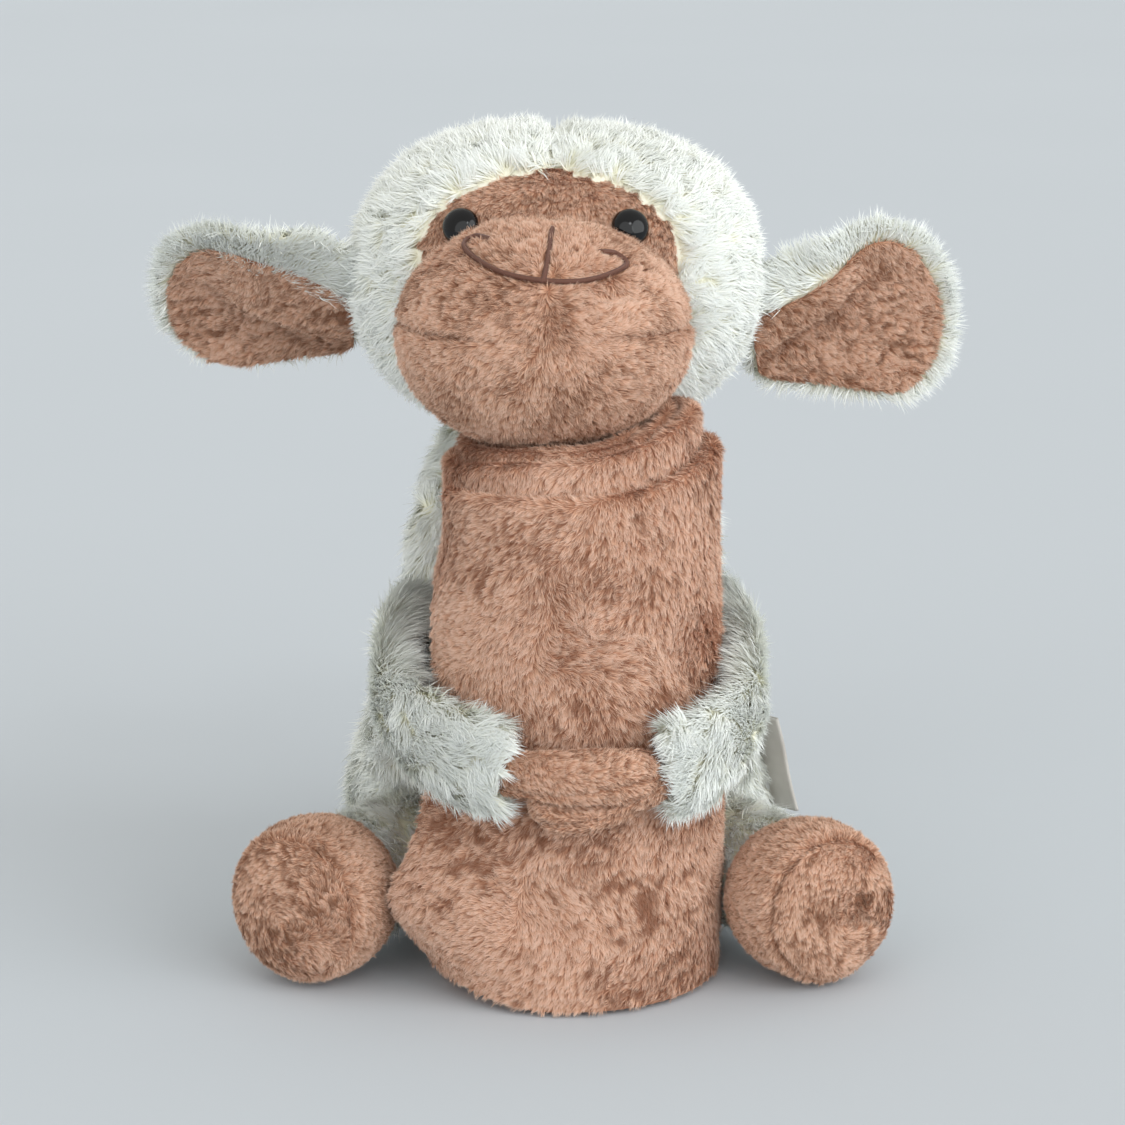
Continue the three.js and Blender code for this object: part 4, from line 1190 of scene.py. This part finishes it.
def blanket_point(tau, at, off):
    """A point of the rolled blanket: turns along it, how far across the folded strip, and off its middle."""
    n, z = on_profile(at)
    (next_n, next_z), (last_n, last_z) = on_profile(at + 0.4), on_profile(at - 0.4)
    dn, dz = next_n - last_n, next_z - last_z
    size = np.maximum(np.hypot(dn, dz), 1e-6)
    n = n + off * dz / size
    z = z - off * dn / size
    radius = ROLL["core"] + ROLL["pitch"] * (tau + 0.5) + n
    angle = math.radians(ROLL["tail"]) - 2 * math.pi * (tau - TURNS)
    x, y = ROLL["x"] + radius * np.cos(angle), ROLL["y"] + radius * np.sin(angle)
    rim = rim_height(x, y, angle, 1 - tau / TURNS)
    z = z * (1 + (rim / ROLL["height"] - 1) * smooth(20, 170, z))
    dent = hill(turn_from(angle, DENT["at"]), 0, DENT["spread"])
    swell = dent * (1.5 * hill(z, 122, 16) - 4.0 * smooth(55, 90, z) - 4.0 * smooth(132, 150, z))
    swell = swell - 2.0 * hill(z, 80, 13) * hill(turn_from(angle, 270), 0, 70)
    swell = swell + 1.2 * np.sin(angle * 2 + z / 30.0) * smooth(0, 40, z)
    last = smooth(TURNS - FLAP["turn"], TURNS, tau)
    swell = swell + last * (FLAP["out"] * hill(z, FLAP["z"], FLAP["half"]) - 0.6)
    swell = swell - 4.0 * dent * (1 - smooth(0, 16, z))
    radius = radius + np.clip(tau / TURNS, 0, 1) ** 1.5 * swell
    z = z + FLAP["hem"] * last * (1 - smooth(0, 45, z))
    return np.stack([ROLL["x"] + radius * np.cos(angle), ROLL["y"] + radius * np.sin(angle), z], axis=-1)


def blanket_frame(tau, at, off):
    """Points on the cloth with outward normals, and the directions along the roll and down."""
    p = blanket_point(tau, at, off)
    along = unit(blanket_point(tau + 0.002, at, off) - blanket_point(tau - 0.002, at, off))
    cross = unit(blanket_point(tau, at + 0.5, off) - blanket_point(tau, at - 0.5, off))
    normal = unit(np.cross(along, cross))
    outward = blanket_point(tau, at, off + 0.3) - p
    normal = normal * np.sign((normal * outward).sum(axis=1, keepdims=True))
    return p, normal, along


def make_blanket():
    taus = np.linspace(0, TURNS, int(TURNS * 44))
    tau, at = np.meshgrid(taus, PROFILE_AT, indexing="ij")
    one = blanket_point(tau, at, CLOTH_HALF)
    other = blanket_point(tau, at, -CLOTH_HALF)[:, ::-1]
    grid = np.concatenate([one, other], axis=1)
    faces = grid_faces(*grid.shape[:2]) + strip_faces(*grid.shape[:2])
    cloth = make_object("blanket_cloth", grid.reshape(-1, 3), faces, MATERIALS["fleece_back"])

    rng = np.random.default_rng(121)
    outer = 2 * math.pi * ROLL["radius"] * ROLL["height"]
    pieces = []
    count = int(outer * 7.5 * QUICK)
    tau = TURNS - rng.random(count)
    at = OUTER_FROM + rng.random(count) * (FOLD_AT + 7 - OUTER_FROM)
    angle = math.radians(ROLL["tail"]) - 2 * math.pi * (tau - TURNS)
    hidden = np.abs(turn_from(angle, 90)) < 62
    kept = ~hidden | (rng.random(count) < 0.2)
    tau, at, angle = tau[kept], at[kept], angle[kept]
    halves = turn_from(angle, 270) < 8
    for name, part in (("blanket_pile_a", halves), ("blanket_pile_b", ~halves)):
        pieces.append(blanket_pile(name, tau[part], at[part], 122 + len(pieces)))
    count = int(ROLL["length"] * 22 * 7.0 * QUICK)
    tau = (TURNS - 0.98) * np.sqrt(rng.random(count))
    at = FOLD_AT + (rng.random(count) - 0.5) * 22
    pieces.append(blanket_pile("blanket_pile_rim", tau, at, 126))
    for piece in pieces + [cloth]:
        carried(piece, "blanket")
        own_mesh(piece)
    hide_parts("blanket_roll")


def blanket_pile(name, tau, at, seed):
    roots, normals, along = blanket_frame(tau, at, CLOTH_HALF - 0.15)
    swing = noise(roots, 34, 131)[:, None]
    nap = brushed((0.75 * swing + 0.35) * along - 0.55 * UP, 0.7, roots, normals, 20, 132)
    strength = 0.85 + 0.3 * noise(roots, 26, 135)
    # Brushed patches of random tone whose lighter and darker parts are also painted sheen and painted shade
    # of the nap. On the roll's right side the tone is painted darker high up, as painted shade, and lighter
    # low down, as painted light that lifts the foot's shadow there.
    right = smooth(20, 46, roots[:, 0] - ROLL["x"])
    nap_sheen_and_shade = noise(roots, 30, 136) + 0.6 * noise(roots, 12, 137)
    low = 1 - smooth(35, 75, roots[:, 2])
    patch = 0.1 + 0.5 * np.tanh(1.6 * nap_sheen_and_shade) + (0.36 * low - 0.1) * right
    hairs = velour(name, roots, normals, nap * strength[:, None], seed, patch, length=3.0, material="fleece")
    return above_floor(hairs, 0.1)


# Floor, light and camera

def floor_material():
    """Plain pale studio paper, a little uneven."""
    stops = [(0.0, srgb(206, 212, 218)), (1.0, srgb(209, 215, 221))]
    values = {"Roughness": 1.0, "Specular IOR Level": 0.0}
    return textured("studio_paper", "ShaderNodeTexNoise", 2.0, stops, values)[0]


def make_studio():
    size = 15000.0
    corners = [(-size, -size, 0), (size, -size, 0), (size, size, 0), (-size, size, 0)]
    floor = make_object("floor", np.array(corners, float), [(0, 1, 2, 3)], floor_material())
    world = bpy.data.worlds.new("studio")
    world.use_nodes = True
    set_all(world.node_tree.nodes["Background"], {"Color": (1.0, 0.99, 0.95, 1.0), "Strength": 0.66})
    bpy.context.scene.world = world
    for name, direction, strength, angle in (
        ("key", (-0.95, 0.7, -0.38), 1.78, 60.0),
        ("fill", (0.15, 0.95, -0.25), 1.05, 70.0),
        ("glint", (-0.25, 0.8, -0.75), 0.12, 9.0),
    ):
        lamp = bpy.data.lights.new(name, "SUN")
        lamp.energy = strength
        lamp.color = (0.95, 0.985, 1.0)
        lamp.angle = math.radians(angle)
        obj = bpy.data.objects.new(name, lamp)
        obj.rotation_euler = Vector(direction).to_track_quat("-Z", "Y").to_euler()
        bpy.context.scene.collection.objects.link(obj)


PHOTO_PIXELS = 1125.0
FOCAL_PIXELS = 3788.0


def make_camera():
    target = Vector((0.0, -0.070, 0.134))
    tilt, far = math.radians(13.0), 1.25
    data = bpy.data.cameras.new("camera")
    data.sensor_width = 36.0
    data.lens = data.sensor_width * FOCAL_PIXELS / PHOTO_PIXELS
    data.clip_start = 0.05
    camera = bpy.data.objects.new("camera", data)
    camera.location = target + Vector((0.0, -math.cos(tilt), math.sin(tilt))) * far
    camera.rotation_euler = (target - camera.location).to_track_quat("-Z", "Y").to_euler()
    bpy.context.scene.collection.objects.link(camera)
    bpy.context.scene.camera = camera


make_camera()
make_studio()
make_head()
make_face()
make_muzzle()
make_mouth()
make_eyes()
for which, facts in EARS.items():
    make_ear(which, facts)
make_body()
for which, facts in ARMS.items():
    make_sleeve(which, facts)
    make_paw(which, facts)
for which, sign in (("left", 1), ("right", -1)):
    make_leg(which, sign)
make_label()
make_blanket()

scene = bpy.context.scene
scene.view_settings.view_transform = "Standard"
